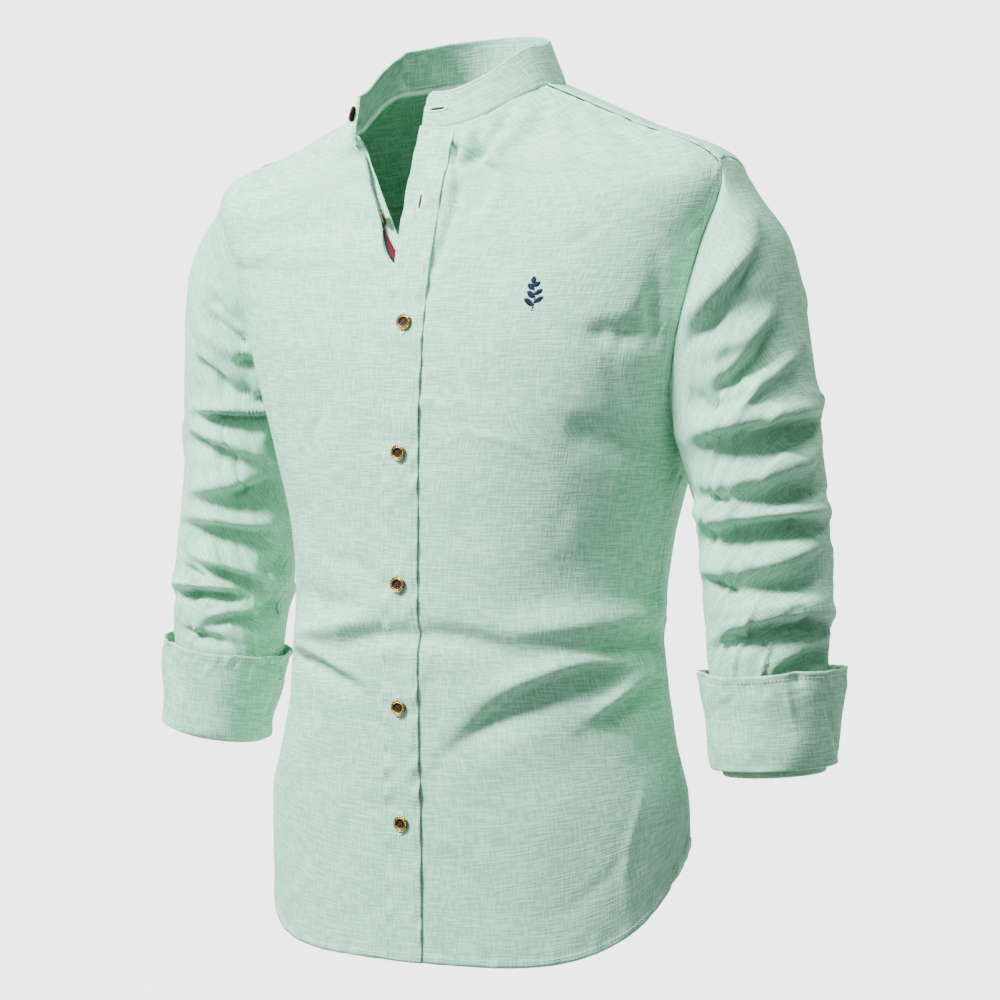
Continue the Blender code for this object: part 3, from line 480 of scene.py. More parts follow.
BACK_FOLDS = rows_of(
    Fold,
    (120, 0.440, 225, 0.404, 0.002, 0.006, 0.012, 0.007),  # elbow ridge behind
    (125, 0.418, 230, 0.390, 0.002, -0.005, 0.007, 0.010),  # hollow under it
    (130, 0.372, 235, 0.366, 0.010, 0.006, 0.012, 0.006),  # second ridge behind
    (130, 0.352, 240, 0.348, 0.009, -0.005, 0.006, 0.010),  # hollow under it
    (125, 0.322, 235, 0.310, 0.006, 0.005, 0.012, 0.006),  # third ridge behind
    (120, 0.304, 240, 0.292, 0.005, -0.004, 0.005, 0.009),  # hollow under it
    (120, 0.272, 240, 0.262, 0.008, 0.004, 0.010, 0.006),  # last ridge behind
    (125, 0.530, 215, 0.462, -0.007, 0.004, 0.012, 0.008),  # shoulder-blade ridge
    (130, 0.504, 220, 0.444, -0.007, -0.004, 0.008, 0.010),  # hollow under it
)
print("folds:", len(BODY_FOLDS), len(LEFT_FOLDS), len(RIGHT_FOLDS), len(BACK_FOLDS))

# %% [markdown]
# ## Surfaces from the measurements
#
# `body` and `sleeve` give the place of any point of the cloth's outer face, with its folds. Panels,
# stitches, buttons and buttonholes all ask the same functions, so they lie on each other exactly.

# %% Curves through a table
def along(rows, t, closed=False):
    """A smooth curve through the rows of a table, at row number t."""
    rows = np.asarray(rows, float)
    t = np.asarray(t, float)
    count = len(rows)
    if closed:
        t = t % count
    first = np.floor(t).astype(int)
    if not closed:
        first = np.clip(first, 0, count - 2)
    f = t - first
    if rows.ndim > 1:
        f = f[..., None]

    def row(step):
        if closed:
            return rows[(first + step) % count]
        return rows[np.clip(first + step, 0, count - 1)]

    before, start, end, after = row(-1), row(0), row(1), row(2)
    bend = 2 * before - 5 * start + 4 * end - after
    twist = 3 * start - before - 3 * end + after
    return 0.5 * (2 * start + (end - before) * f + bend * f**2 + twist * f**3)


def smooth(x, low, high):
    """0 up to low, 1 from high on, and a soft rise between them."""
    x = np.clip((np.asarray(x, float) - low) / (high - low), 0, 1)
    return x * x * (3 - 2 * x)


def seam_turn(t):
    """Where the side seam stands at ring number t."""
    return SEAM_HEM + (SEAM_ARMPIT - SEAM_HEM) * np.clip(np.asarray(t, float) / 5, 0, 1)


def turn_at(x, t):
    """The turn that stands x to the side of the front's middle."""
    line = along(RINGS, t)
    half, square = line[..., 3], line[..., 7]
    return np.degrees(np.arcsin((np.abs(x) / half) ** (square / 2))) * np.sign(x)


def hem_lift(turn, t, share):
    """How much the curved hem raises or lowers the lowest ring, fading out above it."""
    size = np.abs((turn + 180) % 360 - 180)
    hem_front = along(HEM_FRONT, 10 * np.clip(size / SEAM_HEM, 0, 1))
    hem_back = along(HEM_BACK, 10 * np.clip((180 - size) / (180 - SEAM_HEM), 0, 1))
    hem = np.where(size < SEAM_HEM, hem_front, hem_back)
    tail = np.clip(1 - t, 0, 2) ** 2 * (1 + 2 * np.clip(t, -1, 1))
    return (hem - SIDE_Z * (1 - share)) * np.where(t < 1, tail, 0)

# %% The body before folds
def tuck(x, z, turn):
    """How the open front folds back along the ribbon: a shift for points x beside the middle at height z."""
    wide = TUCK[1] - TUCK[0]
    angle = np.radians(TUCK_TURN) * smooth(z, TUCK_LOW, TUCK_FULL) * (1 - smooth(z, TUCK_TOP, 0.648))
    beyond = np.clip((x - TUCK[0]) / wide, 0, 1)
    across = wide * (1 - np.cos(angle)) * (smooth(turn, -60, -8) - beyond)
    back = wide * np.sin(angle) * beyond
    return across[..., None] * np.array(TUCK_ACROSS) + back[..., None] * np.array(TUCK_BACK)


def body_base(turn, t, opens):
    """The body before folds. turn: degrees from the front towards the wearer's left. t: ring number."""
    turn, t = np.broadcast_arrays(np.asarray(turn, float), np.asarray(t, float))
    zf, zs, zb, half, ys, yf, yb, square = np.moveaxis(along(RINGS, t), -1, 0)
    c, s = np.cos(np.radians(turn)), np.sin(np.radians(turn))
    power = 2 / square
    front = c > 0
    x = half * np.sign(s) * np.abs(s) ** power
    y = ys + np.where(front, yf - ys, yb - ys) * np.abs(c) ** power
    z = zs + np.where(front, zf - zs, zb - zs) * c**2
    z = z + hem_lift(turn, t, c**2)
    z = z - RIGHT_DROP * smooth(-x, 0.05, 0.20) * smooth(t, 6.0, 8.0)
    opening = np.clip((zf - V_LOW) / (V_HIGH - V_LOW), 0, 1.2) ** 0.60 * (turn < 16) * opens
    falls = np.array(FALLS)
    moves = along(falls[:, 1:], np.interp(-turn, -falls[:, 0], np.arange(len(falls))))
    part = np.stack([opening, opening**4, opening**4], -1)
    folded = tuck(x, zf, turn) * ((turn < 16) * opens)[..., None]
    return np.stack([x, y, z], -1) + moves * part + folded

# %% Ridges and hollows
def fold_line(fold):
    """The fold's line as angles and heights."""
    s = np.linspace(0, 1, 21)
    angle = fold.angle + (fold.to_angle - fold.angle) * s
    height = fold.height + (fold.to_height - fold.height) * s + fold.bow * 4 * s * (1 - s)
    return angle, height


def folds(angle, z, table, radius):
    """How far the cloth stands out at each place, from the table's ridges and troughs."""
    angle, z = np.broadcast_arrays(np.asarray(angle, float), np.asarray(z, float))
    total = np.zeros(z.shape)
    for fold in table:
        line, heights = fold_line(fold)
        reach = 3.2 * max(fold.above, fold.below)
        near = (z > heights.min() - reach) & (z < heights.max() + reach)
        if not near.any():
            continue
        middle = 0.5 * (line[0] + line[-1])
        turned = (angle[near] - middle + 180) % 360 - 180 + middle
        px, pz = np.radians(turned) * radius, z[near]
        lx = np.radians(line) * radius
        best = np.full(px.shape, 1e9)
        side = np.zeros(px.shape)
        place = np.zeros(px.shape)
        last = len(lx) - 1
        for k in range(last):
            dx, dz = lx[k + 1] - lx[k], heights[k + 1] - heights[k]
            size = dx * dx + dz * dz + 1e-12
            f = np.clip(((px - lx[k]) * dx + (pz - heights[k]) * dz) / size, 0, 1)
            ex, ez = px - lx[k] - f * dx, pz - heights[k] - f * dz
            gap = ex * ex + ez * ez
            closer = gap < best
            best = np.where(closer, gap, best)
            side = np.where(closer, dx * ez - dz * ex, side)
            place = np.where(closer, (k + f) / last, place)
        over = side * np.sign(lx[-1] - lx[0] + 1e-9) > 0
        width = np.where(over, fold.above, fold.below)
        fade = 0.15 + 0.85 * smooth(place, 0, 0.3) * smooth(1 - place, 0, 0.3)
        total[near] += fold.out * fade * np.exp(-best / width**2)
    return total


def outward(surface, u, v, du, dv):
    """The direction out of a surface, from steps along it."""
    across = surface(u + du, v) - surface(u - du, v)
    up = surface(u, v + dv) - surface(u, v - dv)
    n = np.cross(across, up)
    return unit(n)


def unit(ways):
    """The same directions, each 1 long."""
    return ways / np.linalg.norm(ways, axis=-1, keepdims=True)

# %% The body with its folds
DEEPER = 2.1  # thin cloth folds this much deeper than the plain solids
BODY_RADIUS, ARM_RADIUS = 0.145, 0.054  # they turn a fold's degrees into metres round the body or arm


def deeper(rows, factor):
    return [row._replace(out=row.out * factor) for row in rows]


# Folds that fall from under the band beside the buttonhole strip.
NECK_FOLDS = [
    Fold(50, 0.667, 6, 0.614, 0.004, -0.0066, 0.0034, 0.0032),  # the dark hollow, upper part
    Fold(11, 0.636, 2.0, 0.514, 0.036, -0.0062, 0.0024, 0.0022),  # and lower part, along the strip
    Fold(62, 0.674, 9, 0.612, 0.004, 0.0035, 0.0050, 0.0050),  # ridge to the right of it
]
EXTRA_FOLDS = deeper(BODY_FOLDS, DEEPER - 1)


def body(turn, t, out=0.0, opens=True):
    """The body with its folds, moved out from the cloth's face by out. The neckline keeps its plain form."""
    turn, t = np.broadcast_arrays(np.asarray(turn, float), np.asarray(t, float))
    base = body_base(turn, t, opens)
    n = outward(lambda u, v: body_base(u, v, opens), turn, t, 0.6, 0.04)
    height = base[..., 2]
    fade = 1 - smooth(t, 9.35, 9.9)
    if opens:
        fade = fade * (1 - smooth(height, 0.49, 0.53) * (turn < 30))
    lift = folds(turn, height, BODY_FOLDS, BODY_RADIUS)
    lift = lift + fade * folds(turn, height, EXTRA_FOLDS, BODY_RADIUS)
    if not opens:
        lift = lift + smooth(turn, 1.9, 2.7) * folds(turn, height, NECK_FOLDS, BODY_RADIUS)
    lift = lift * (1 - smooth(t, 9.55, 9.97))
    return base + n * (lift + out)[..., None]


# %% The sleeves
SLEEVE_FOLDS = {1: deeper(LEFT_FOLDS + BACK_FOLDS, DEEPER), -1: deeper(RIGHT_FOLDS + BACK_FOLDS, DEEPER)}


def sleeve_base(round_, down, side):
    """A sleeve before folds. round_: 0 armpit, 0.25 front, 0.5 shoulder, 0.75 back. down: 0 armhole to 1."""
    round_, down = np.broadcast_arrays(np.asarray(round_, float), np.asarray(down, float))
    line = along(ARMHOLE, round_ * len(ARMHOLE), closed=True)
    start = body(side * (90 + line[..., 0]), line[..., 1], 0.0009) * [side, 1, 1]
    middle = np.array([0.206, 0.010, 0.520])
    start = start + (middle - start) * 0.006
    z = start[..., 2] + (SLEEVE_END - start[..., 2]) * down
    arm = np.array(ARM)[::-1]
    place = np.interp(z, arm[:, 2], np.arange(len(arm)))
    x, y, _, across, deep = np.moveaxis(along(arm, place), -1, 0)
    angle = 2 * np.pi * round_
    ring = np.stack([x - across * np.cos(angle), y - deep * np.sin(angle), z], -1)
    fallen = start[..., 2] - z
    out = np.sin(np.pi / 2 * np.clip(fallen / 0.075, 0, 1))[..., None]
    mixed = start + (ring - start) * out
    tilt = TILT[side] * (mixed[..., 0] - 0.255) * smooth(down, 0.55, 0.95)
    mixed[..., 2] = z + tilt
    return mixed * [side, 1, 1]


def sleeve(round_, down, side):
    """A sleeve with its folds."""
    round_, down = np.broadcast_arrays(np.asarray(round_, float), np.asarray(down, float))
    base = sleeve_base(round_, down, side)
    n = -side * outward(lambda u, v: sleeve_base(u, v, side), round_, down, 0.004, 0.01)
    lift = folds(360 * round_ - 90, base[..., 2], SLEEVE_FOLDS[side], ARM_RADIUS)
    lift = lift * smooth(down, 0.0, 0.06) * smooth(base[..., 2], 0.205, 0.240)
    return base + n * lift[..., None]

# %% The band and the cuffs
def neckline(place):
    """The neckline from the left front's edge by the back to the right front's edge."""
    turn = BAND[0].turn + (BAND[-1].turn - BAND[0].turn) * place
    left = body(np.minimum(turn, 180), NECK, 0, False)
    right = body(np.maximum(turn, 180) - 360, NECK, 0, True)
    return np.where((turn > 180)[..., None], right, left)


def band(place, up, out):
    """The neck band. place: 0 at its left end to 1 at its right. up: 0 at the neckline to 1 at its top."""
    place, up = np.broadcast_arrays(np.asarray(place, float), np.asarray(up, float))
    step = neckline(place + 0.004) - neckline(place - 0.004)
    inward = np.stack([-step[..., 1], step[..., 0], 0 * place], -1)
    inward = unit(inward)
    turns = np.array([row.turn for row in BAND])
    turn = turns[0] + (turns[-1] - turns[0]) * place
    row = np.interp(turn, turns, range(len(BAND)))
    _, height, lean = np.moveaxis(along(BAND, row), -1, 0)
    rise = (up * height)[..., None] * (UPRIGHT + inward * lean[..., None])
    face = unit(UPRIGHT * lean[..., None] - inward)
    return neckline(place) + rise + face * np.asarray(out)[..., None]


def cuff(place, up, side, out=0.0):
    """A turned-back cuff. place: 0 at its under end to 1 at its lapped end. up: 0 by the fold to 1."""
    place, up = np.broadcast_arrays(np.asarray(place, float), np.asarray(up, float))
    low, high = (np.array(row) for row in CUFFS[side])
    x, y, z, across, deep = np.moveaxis(low + (high - low) * up[..., None], -1, 0)
    angle = np.radians(CUFF_START[side] + (360 + CUFF_LAP) * place)
    more = 0.003 * place + out
    beside = (across + more) * np.sin(angle)
    y = y - (deep + more) * np.cos(angle)
    return np.stack([side * (x + beside), y, z + TILT[side] * beside], -1)

# %% The edges of the panels
def armhole_turns(t, by_front):
    """Where the armhole's front or back edge stands at ring number t."""
    line = along(ARMHOLE, np.linspace(0, len(ARMHOLE), 341), closed=True)
    top = int(np.argmax(line[:, 1]))
    part = line[: top + 1] if by_front else line[top:][::-1]
    return 90 + np.interp(t, part[:, 1], part[:, 0])


def front_edge(t):
    """The outer edge of a front: side seam, armhole, then the seam of the yoke."""
    t = np.asarray(t, float)
    return np.where(t < 5, seam_turn(t), armhole_turns(np.clip(t, 5, YOKE_CORNER), True)) - SEAM


def back_edge(t):
    """The outer edge of the back: side seam, then armhole."""
    t = np.asarray(t, float)
    return np.where(t < 5, seam_turn(t), armhole_turns(np.clip(t, 5, 8), False)) + SEAM


def wrapped(turn, t):
    """The body's back and yoke, for turns from the left side past 180 to the right side."""
    left = body(np.minimum(turn, 180), t, 0, False)
    right = body(np.maximum(turn, 180) - 360, t, 0, True)
    return np.where((turn > 180)[..., None], right, left)


print("shoulder point", body(88.0, 8.0).round(3))

# %% [markdown]
# ## Slub shirting
#
# The real cloth is a plain weave of cotton and linen with slubs: threads that thicken and thin along
# their length. Each piece carries its own flat coordinates, in metres across and along the cloth, in
# an attribute named `weave`. Noise stretched far along one direction and hardly along the other draws
# the threads, once for the warp and once for the weft. The thickest ones show as paler streaks.

# %% The shirting's material
CLOTH_COLOUR = (0.30, 0.59, 0.42, 1)
THREAD_PALE = (0.43, 0.72, 0.56, 1)
THREAD_DEEP = (0.18, 0.45, 0.28, 1)


def threads(start, across, along, fine, length, detail=0.0):
    """Noise drawn out into threads: fine of them across each metre, each about 1 / length metres long."""
    place = start.made("ShaderNodeCombineXYZ", X=across * fine, Y=along * length, Z=0.0)
    looks = dict(Scale=1.0, Detail=detail, Roughness=0.55)
    return start.made("ShaderNodeTexNoise", {"noise_dimensions": "2D"}, Vector=place, **looks)


def weave_of(start):
    """The cloth's own flat coordinates: both at once, across and along."""
    flat = start.made("ShaderNodeAttribute", {"attribute_name": "weave"}, 1)
    parts = start.node("ShaderNodeSeparateXYZ", Vector=flat)
    return flat, start.out(parts, 0), start.out(parts, 1)


shirting, shader, start = new_material("slub_shirting", 0.88)
flat, across, along_it = weave_of(start)
warp = threads(start, across, along_it, 820, 90)
weft = threads(start, along_it, across, 760, 70)
slub_warp = threads(start, across, along_it, 430, 34, 1.0).between(0.58, 0.72)
slub_weft = threads(start, along_it, across, 400, 24, 1.0).between(0.57, 0.71)
cloud = start.made("ShaderNodeTexNoise", {"noise_dimensions": "2D"}, Vector=flat, Scale=22.0, Detail=1.0)
streaks = slub_warp * 0.36 + slub_weft * 0.46
grain = (warp + weft) * 0.5
lighter = grain.between(0.36, 0.64) * 0.72 + streaks + (cloud - 0.5) * 0.35
tone = lighter.between(0.0, 1.0).blend(THREAD_DEEP, THREAD_PALE)
mixing = dict(input_0=0.62, input_6=CLOTH_COLOUR, input_7=tone)
body_tone = start.made("ShaderNodeMix", {"data_type": "RGBA"}, 2, **mixing)
start.feed(shader.inputs["Base Color"], body_tone)
bump = start.made("ShaderNodeBump", Strength=0.5, Distance=0.0007, Height=grain)
start.feed(shader.inputs["Normal"], bump)
shader.inputs["Specular IOR Level"].default_value = 0.15
print("made", shirting.name)

# %% [markdown]
# ## Thin cloth from a grid of points
#
# Every panel is a grid of points bent to the body. Working on the whole grid at once lets one function
# find how far each point lies from the panel's four edges, and others raise the cloth at a seam, roll
# a hem or ruffle it beside a line of stitches. The grid then gets a wall of 0.7 mm with Solidify,
# and up to 1.6 mm where the real cloth is doubled.

# %% Grids, distances and relief
THIN = 0.0007


class Panel:
    """A grid of points on the cloth's outer face, with each point's distance from the four edges."""

    def __init__(self, points):
        self.points = np.array(points, float)
        steps = np.linalg.norm(np.diff(self.points, axis=0), axis=-1)
        rises = np.linalg.norm(np.diff(self.points, axis=1), axis=-1)
        self.first = np.concatenate([np.zeros((1, steps.shape[1])), np.cumsum(steps, 0)])
        self.last = self.first[-1:] - self.first
        self.low = np.concatenate([np.zeros((rises.shape[0], 1)), np.cumsum(rises, 1)], 1)
        self.high = self.low[:, -1:] - self.low
        self.middle = self.first - self.first.mean(axis=0, keepdims=True)

    def normals(self):
        across = np.gradient(self.points, axis=0)
        up = np.gradient(self.points, axis=1)
        n = np.cross(across, up)
        return n / np.maximum(np.linalg.norm(n, axis=-1, keepdims=True), 1e-9)

    def raise_by(self, amount, flip=1):
        self.points = self.points + flip * self.normals() * np.asarray(amount)[..., None]
        return self

    def line(self, edge, distance):
        """Points and normals along a line this far inside an edge: 'first', 'last', 'low' or 'high'."""
        far = getattr(self, edge)
        points, normals = self.points, self.normals()
        if edge in ("low", "high"):
            far, points, normals = far.T, points.swapaxes(0, 1), normals.swapaxes(0, 1)
        order = slice(None) if edge in ("first", "low") else slice(None, None, -1)
        made = []
        for column in range(far.shape[1]):
            d, p, n = far[order, column], points[order, column], normals[order, column]
            spot = [np.interp(distance, d, p[:, k]) for k in range(3)]
            face = [np.interp(distance, d, n[:, k]) for k in range(3)]
            made.append(spot + face)
        made = np.array(made)
        return made[:, :3], made[:, 3:]


def uneven(u, v, size, seed):
    """Smooth random height about 1 high, its bumps about size metres long."""
    made = np.zeros(np.broadcast(u, v).shape)
    random = np.random.default_rng(seed)
    for _ in range(7):
        angle, phase = random.uniform(0, np.pi), random.uniform(0, 2 * np.pi)
        long = size * random.uniform(0.6, 1.7)
        made = made + np.sin((u * np.cos(angle) + v * np.sin(angle)) * 2 * np.pi / long + phase)
    return made / 3.2


def bell(distance, reach):
    """1 at distance 0, fading out over reach on both sides."""
    return np.exp(-((distance / reach) ** 2))


def puckers(distance, along, size, reach, seed):
    """Small ruffles that start at a line of stitches and fade out over reach metres."""
    wave = uneven(along, along * 0.0, size, seed) * uneven(along, distance * 2.0, size * 3, seed + 1)
    return wave * bell(distance, reach)


def step(distance, width):
    """1 on the strip of this width beside an edge, 0 beyond it."""
    return 1 - smooth(distance, width - 0.0007, width + 0.0007)


def close_at_ends(count, strength=0.45):
    """Shares from 0 to 1, closer together near both ends."""
    s = np.linspace(0, 1, count)
    return s - strength * np.sin(2 * np.pi * s) / (2 * np.pi)


# %% Cloth pieces
def bent_grid(name, points, material, weave, flip=False):
    """A flat grid bent to these points, with its own flat coordinates kept for the weave."""
    columns, rows = points.shape[:2]
    net = bmesh.new()
    bmesh.ops.create_grid(net, x_segments=columns - 1, y_segments=rows - 1, size=1)
    if flip:
        bmesh.ops.reverse_faces(net, faces=net.faces)
    mesh = bpy.data.meshes.new(name)
    net.to_mesh(mesh)
    net.free()
    flat = np.empty(len(mesh.vertices) * 3)
    mesh.vertices.foreach_get("co", flat)
    flat = flat.reshape(-1, 3)
    i = np.rint((flat[:, 0] + 1) / 2 * (columns - 1)).astype(int)
    j = np.rint((flat[:, 1] + 1) / 2 * (rows - 1)).astype(int)
    placed = points[i, j] - [0, 0, HANG]
    mesh.vertices.foreach_set("co", placed.ravel())
    across, along_it = weave
    shift = (len(name) * 0.37 % 1, sum(map(ord, name)) * 0.071 % 1)
    kept = mesh.attributes.new("weave", "FLOAT_VECTOR", "POINT")
    coordinates = np.stack([across[i, j] + shift[0], along_it[i, j] + shift[1], 0 * across[i, j]], -1)
    kept.data.foreach_set("vector", coordinates.ravel())
    mesh.shade_smooth()
    mesh.materials.append(material)
    return put(name, mesh)


def flat_lengths(points):
    """How far each point lies across and along the cloth, measured from its middle column and lowest row."""
    panel = Panel(points)
    across = panel.first - panel.first[len(points) // 2][None, :]
    along_it = np.broadcast_to(panel.low[len(points) // 2][None, :], across.shape)
    return across, along_it


def cloth_piece(name, points, flat, stands_for, wall=THIN, flip=False):
    """A thin sheet that takes the place of a plain solid."""
    obj = bent_grid(name, points, shirting, flat_lengths(points), flip)
    thick = obj.modifiers.new("wall", "SOLIDIFY")
    thick.thickness = wall
    thick.offset = -1
    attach(obj, "root")
    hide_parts(stands_for)
    measured = Panel(points)
    wide, long = float(measured.first[-1].mean()), float(measured.low[:, -1].mean())
    print(name, "about", round(wide, 3), "by", round(long, 3))

# %% [markdown]
# ## Fronts
#
# Each front is cut from the hem to the neckline. Its outer edge is the side seam, then the armhole,
# then the seam of the yoke. The hem is turned twice and stitched, so it stands up as a narrow ridge
# that ruffles. The seams are felled: the allowance lies under the cloth and lifts it in a low band.

# %% Rows and small creases
TOP = NECK - 0.004
HEM_STITCH, SEAM_STITCH, STRIP_STITCH, BAND_STITCH = 0.0048, 0.0068, 0.0031, 0.0020  # how far from the edge
YOKE_STITCHES = (0.0014, 0.0056)


def ring_rows(count, low=0.0, high=TOP):
    """Ring numbers from low to high, evenly spaced along the cloth."""
    t = np.linspace(low, high, 500)
    line = along(RINGS, t)
    path = np.abs(np.diff(line[:, 0])) + 0.75 * np.abs(np.diff(line[:, 3]))
    path = np.concatenate([[0], np.cumsum(path)])
    return np.interp(np.linspace(0, path[-1], count), path, t)


def grid(first, last, columns, rows):
    """Turns between two edges at every row."""
    share = close_at_ends(columns)[:, None]
    first, last = np.broadcast_to(first, rows.shape), np.broadcast_to(last, rows.shape)
    return first + (last - first) * share, np.broadcast_to(rows, (columns, len(rows)))


def creases(u, v, count, seed, high, wide, long, lean=0.0, spread=0.5):
    """Short uneven creases at random places, most of them leaning the same way."""
    random = np.random.default_rng(seed)
    total = np.zeros(u.shape)
    for _ in range(count):
        cu, cv = random.uniform(u.min(), u.max()), random.uniform(v.min(), v.max())
        angle = lean + random.normal(0, spread)
        length, width = long * random.uniform(0.5, 1.4), wide * random.uniform(0.6, 1.5)
        du, dv = u - cu, v - cv
        forward = du * np.cos(angle) + dv * np.sin(angle)
        beside_it = -du * np.sin(angle) + dv * np.cos(angle) + random.normal(0, 3) * forward**2
        shape = np.exp(-((forward / length) ** 2) - (beside_it / width) ** 2)
        total += shape * high * random.uniform(-1, 1)
    return total


def hem_relief(panel):
    """A hem turned twice, 5 mm deep, with a groove at its stitches."""
    ruffle = puckers(panel.low - 0.005, panel.middle, 0.016, 0.010, 5)
    groove = bell(panel.low - HEM_STITCH, 0.0008)
    return 0.0007 * step(panel.low, 0.0055) - 0.0006 * groove + 0.0011 * ruffle


def seam_relief(distance, along_it, seed, wide=0.008, high=0.0006):
    """The low band of a felled seam, with a groove at its stitches."""
    groove = bell(distance - wide + 0.0012, 0.0008)
    ruffle = puckers(distance - wide, along_it, 0.013, 0.007, seed)
    return high * step(distance, wide) - 0.0006 * groove + 0.0010 * ruffle


# %% The two fronts
def front(first, last, opens, outer, seed):
    """One front, from the strip to its seams. outer says which edge is the seam."""
    rows = ring_rows(262)
    turns, rings = grid(first(rows), last(rows), 104, rows)
    panel = Panel(body(turns, rings, 0, opens))
    edge = panel.last if outer == "last" else panel.first
    inner = panel.first if outer == "last" else panel.last
    relief = hem_relief(panel) + seam_relief(edge, panel.low, seed)
    relief = relief + 0.0008 * puckers(inner - 0.006, panel.low, 0.028, 0.022, seed + 3)
    relief = relief + 0.0005 * uneven(panel.middle, panel.low, 0.085, seed + 4)
    relief = relief + creases(panel.middle, panel.low, 40, seed + 5, 0.0022, 0.005, 0.030, 1.2, 0.8)
    under_yoke = step(edge, 0.003) * (rings > YOKE_CORNER + 0.02)
    return panel.raise_by(relief - 0.0016 * under_yoke)


def seam_edge(t):
    """The outer edge of a front, running on a little under the yoke."""
    return front_edge(t) + SEAM + 0.8 * (t > YOKE_CORNER)


left_front = front(lambda t: turn_at(0.011, t), seam_edge, False, "last", 11)
cloth_piece("cloth_front_left", left_front.points, (0.265, 0.70), "front_left")
right_front = front(lambda t: -seam_edge(t), lambda t: turn_at(-0.0085, t), True, "first", 23)
cloth_piece("cloth_front_right", right_front.points, (0.265, 0.70), "front_right")

# %% [markdown]
# ## Back and yoke
#
# The back runs from side seam to side seam and up to the yoke. The yoke lies over both shoulders; its
# front edges lap over the fronts and carry two lines of stitches. The folds of the cloth's inner face
# show through the open neck.

# %% The back
back_rows = ring_rows(200, 0.0, YOKE_RING + 0.02)
turns, rings = grid(back_edge(back_rows) - SEAM, 360 - back_edge(back_rows) + SEAM, 128, back_rows)
back = Panel(wrapped(turns, rings))
relief = hem_relief(back) + 0.0006 * uneven(back.middle, back.low, 0.09, 31)
relief = relief + seam_relief(back.first, back.low, 32) * 0.6 + seam_relief(back.last, back.low, 33) * 0.6
relief = relief + creases(back.middle, back.low, 50, 34, 0.0022, 0.007, 0.040, 0.5, 0.6)
relief = relief - 0.0009 * step(back.high, 0.004)
back.raise_by(relief)
cloth_piece("cloth_back", back.points, (0.50, 0.60), "back")

# %% The yoke
shoulder = np.array([YOKE_TURN, 83, 84, 86, 88, 91, 95, 99, 103.5, 106.5])
turns = np.concatenate([shoulder, np.linspace(112, 248, 21), (360 - shoulder)[::-1]])
turns = np.interp(np.linspace(0, 1, 170), np.linspace(0, 1, len(turns)), turns)
size = np.where(turns > 180, 360 - turns, turns)
top_edge = along(ARMHOLE, np.linspace(7, 11.01, 60), closed=True)
top_edge = top_edge[np.argsort(top_edge[:, 0])]
low = np.where(size < 106.5, np.interp(size, 90 + top_edge[:, 0], top_edge[:, 1]), YOKE_RING)
rings = low[:, None] + (TOP - low[:, None]) * np.linspace(0, 1, 64)
turns = np.broadcast_to(turns[:, None], rings.shape)
yoke = Panel(wrapped(turns, rings))
relief = 0.0005
seams = ((yoke.first, yoke.low, 41), (yoke.last, yoke.low, 42), (yoke.low, yoke.middle, 43))
for distance, line, seed in seams:
    relief = relief + seam_relief(distance, line, seed, 0.0065, 0.0004)
relief = relief + creases(yoke.middle, yoke.low, 16, 44, 0.0012, 0.006, 0.030, 1.3, 0.7)
yoke.raise_by(relief)
cloth_piece("cloth_yoke", yoke.points, (0.45, 0.16), "yoke")

# %% [markdown]
# ## Front strips
#
# The left front ends in a strip 32 mm wide with the buttonholes, a separate band folded at both edges
# and topstitched 3 mm inside them. Sewing draws it up a little, so it puckers between the stitch lines.
# The right front ends in the button stand, which lies under the strip and shows where the neck is open.

# %% The buttonhole strip and the button stand
def long_strip(left, right, out, opens, columns, rows, seed, gain=1.0):
    """A strip from left to right of the front's middle, out from the cloth's face by out."""
    sides = left + (right - left) * close_at_ends(columns, 0.6)
    turns = np.stack([turn_at(x, rows) for x in sides])
    rings = np.broadcast_to(rows, turns.shape)
    panel = Panel(body(turns, rings, out, opens))
    edge = np.minimum(panel.first, panel.last)
    groove, fallen = bell(edge - STRIP_STITCH, 0.0007), bell(edge, 0.0006)
    height = panel.points[..., 2]
    drawn = 1 + 1.3 * smooth(height, 0.11, 0.15) * (1 - smooth(height, 0.235, 0.27))
    ripple = uneven(panel.low, panel.first * 0.25, 0.021, seed) * bell(edge - STRIP_STITCH, 0.0045)
    cross = uneven(panel.low, panel.first * 0.6, 0.034, seed + 1)
    relief = -0.0008 * groove - 0.0005 * fallen + gain * drawn * (0.0009 * ripple + 0.0005 * cross)
    return panel.raise_by(relief)


STRIP_FACE = 0.0019  # the buttonhole strip stands this far off the front
strip_rows = ring_rows(380, 0.0, NECK - 0.02)
hole_strip = long_strip(-STRIP_HALF, 0.0165, STRIP_FACE, False, 24, strip_rows, 51)
cloth_piece("cloth_strip_left", hole_strip.points, (0.032, 0.68), "placket_left", wall=0.0010)
stand = long_strip(-0.0180, 0.015, STAND_OUT, True, 30, strip_rows, 53, 0.5)
cloth_piece("cloth_strip_right", stand.points, (0.032, 0.68), "placket_right", wall=0.0009)

# %% [markdown]
# ## Sleeves
#
# Each sleeve is one piece, sewn into a tube with a felled seam under the arm. Pushed up the arm it
# falls into the rings of folds of the table, deepest over the elbow. Small random creases between the
# main ones keep the cloth from looking moulded. At its end the cloth turns outwards and up.

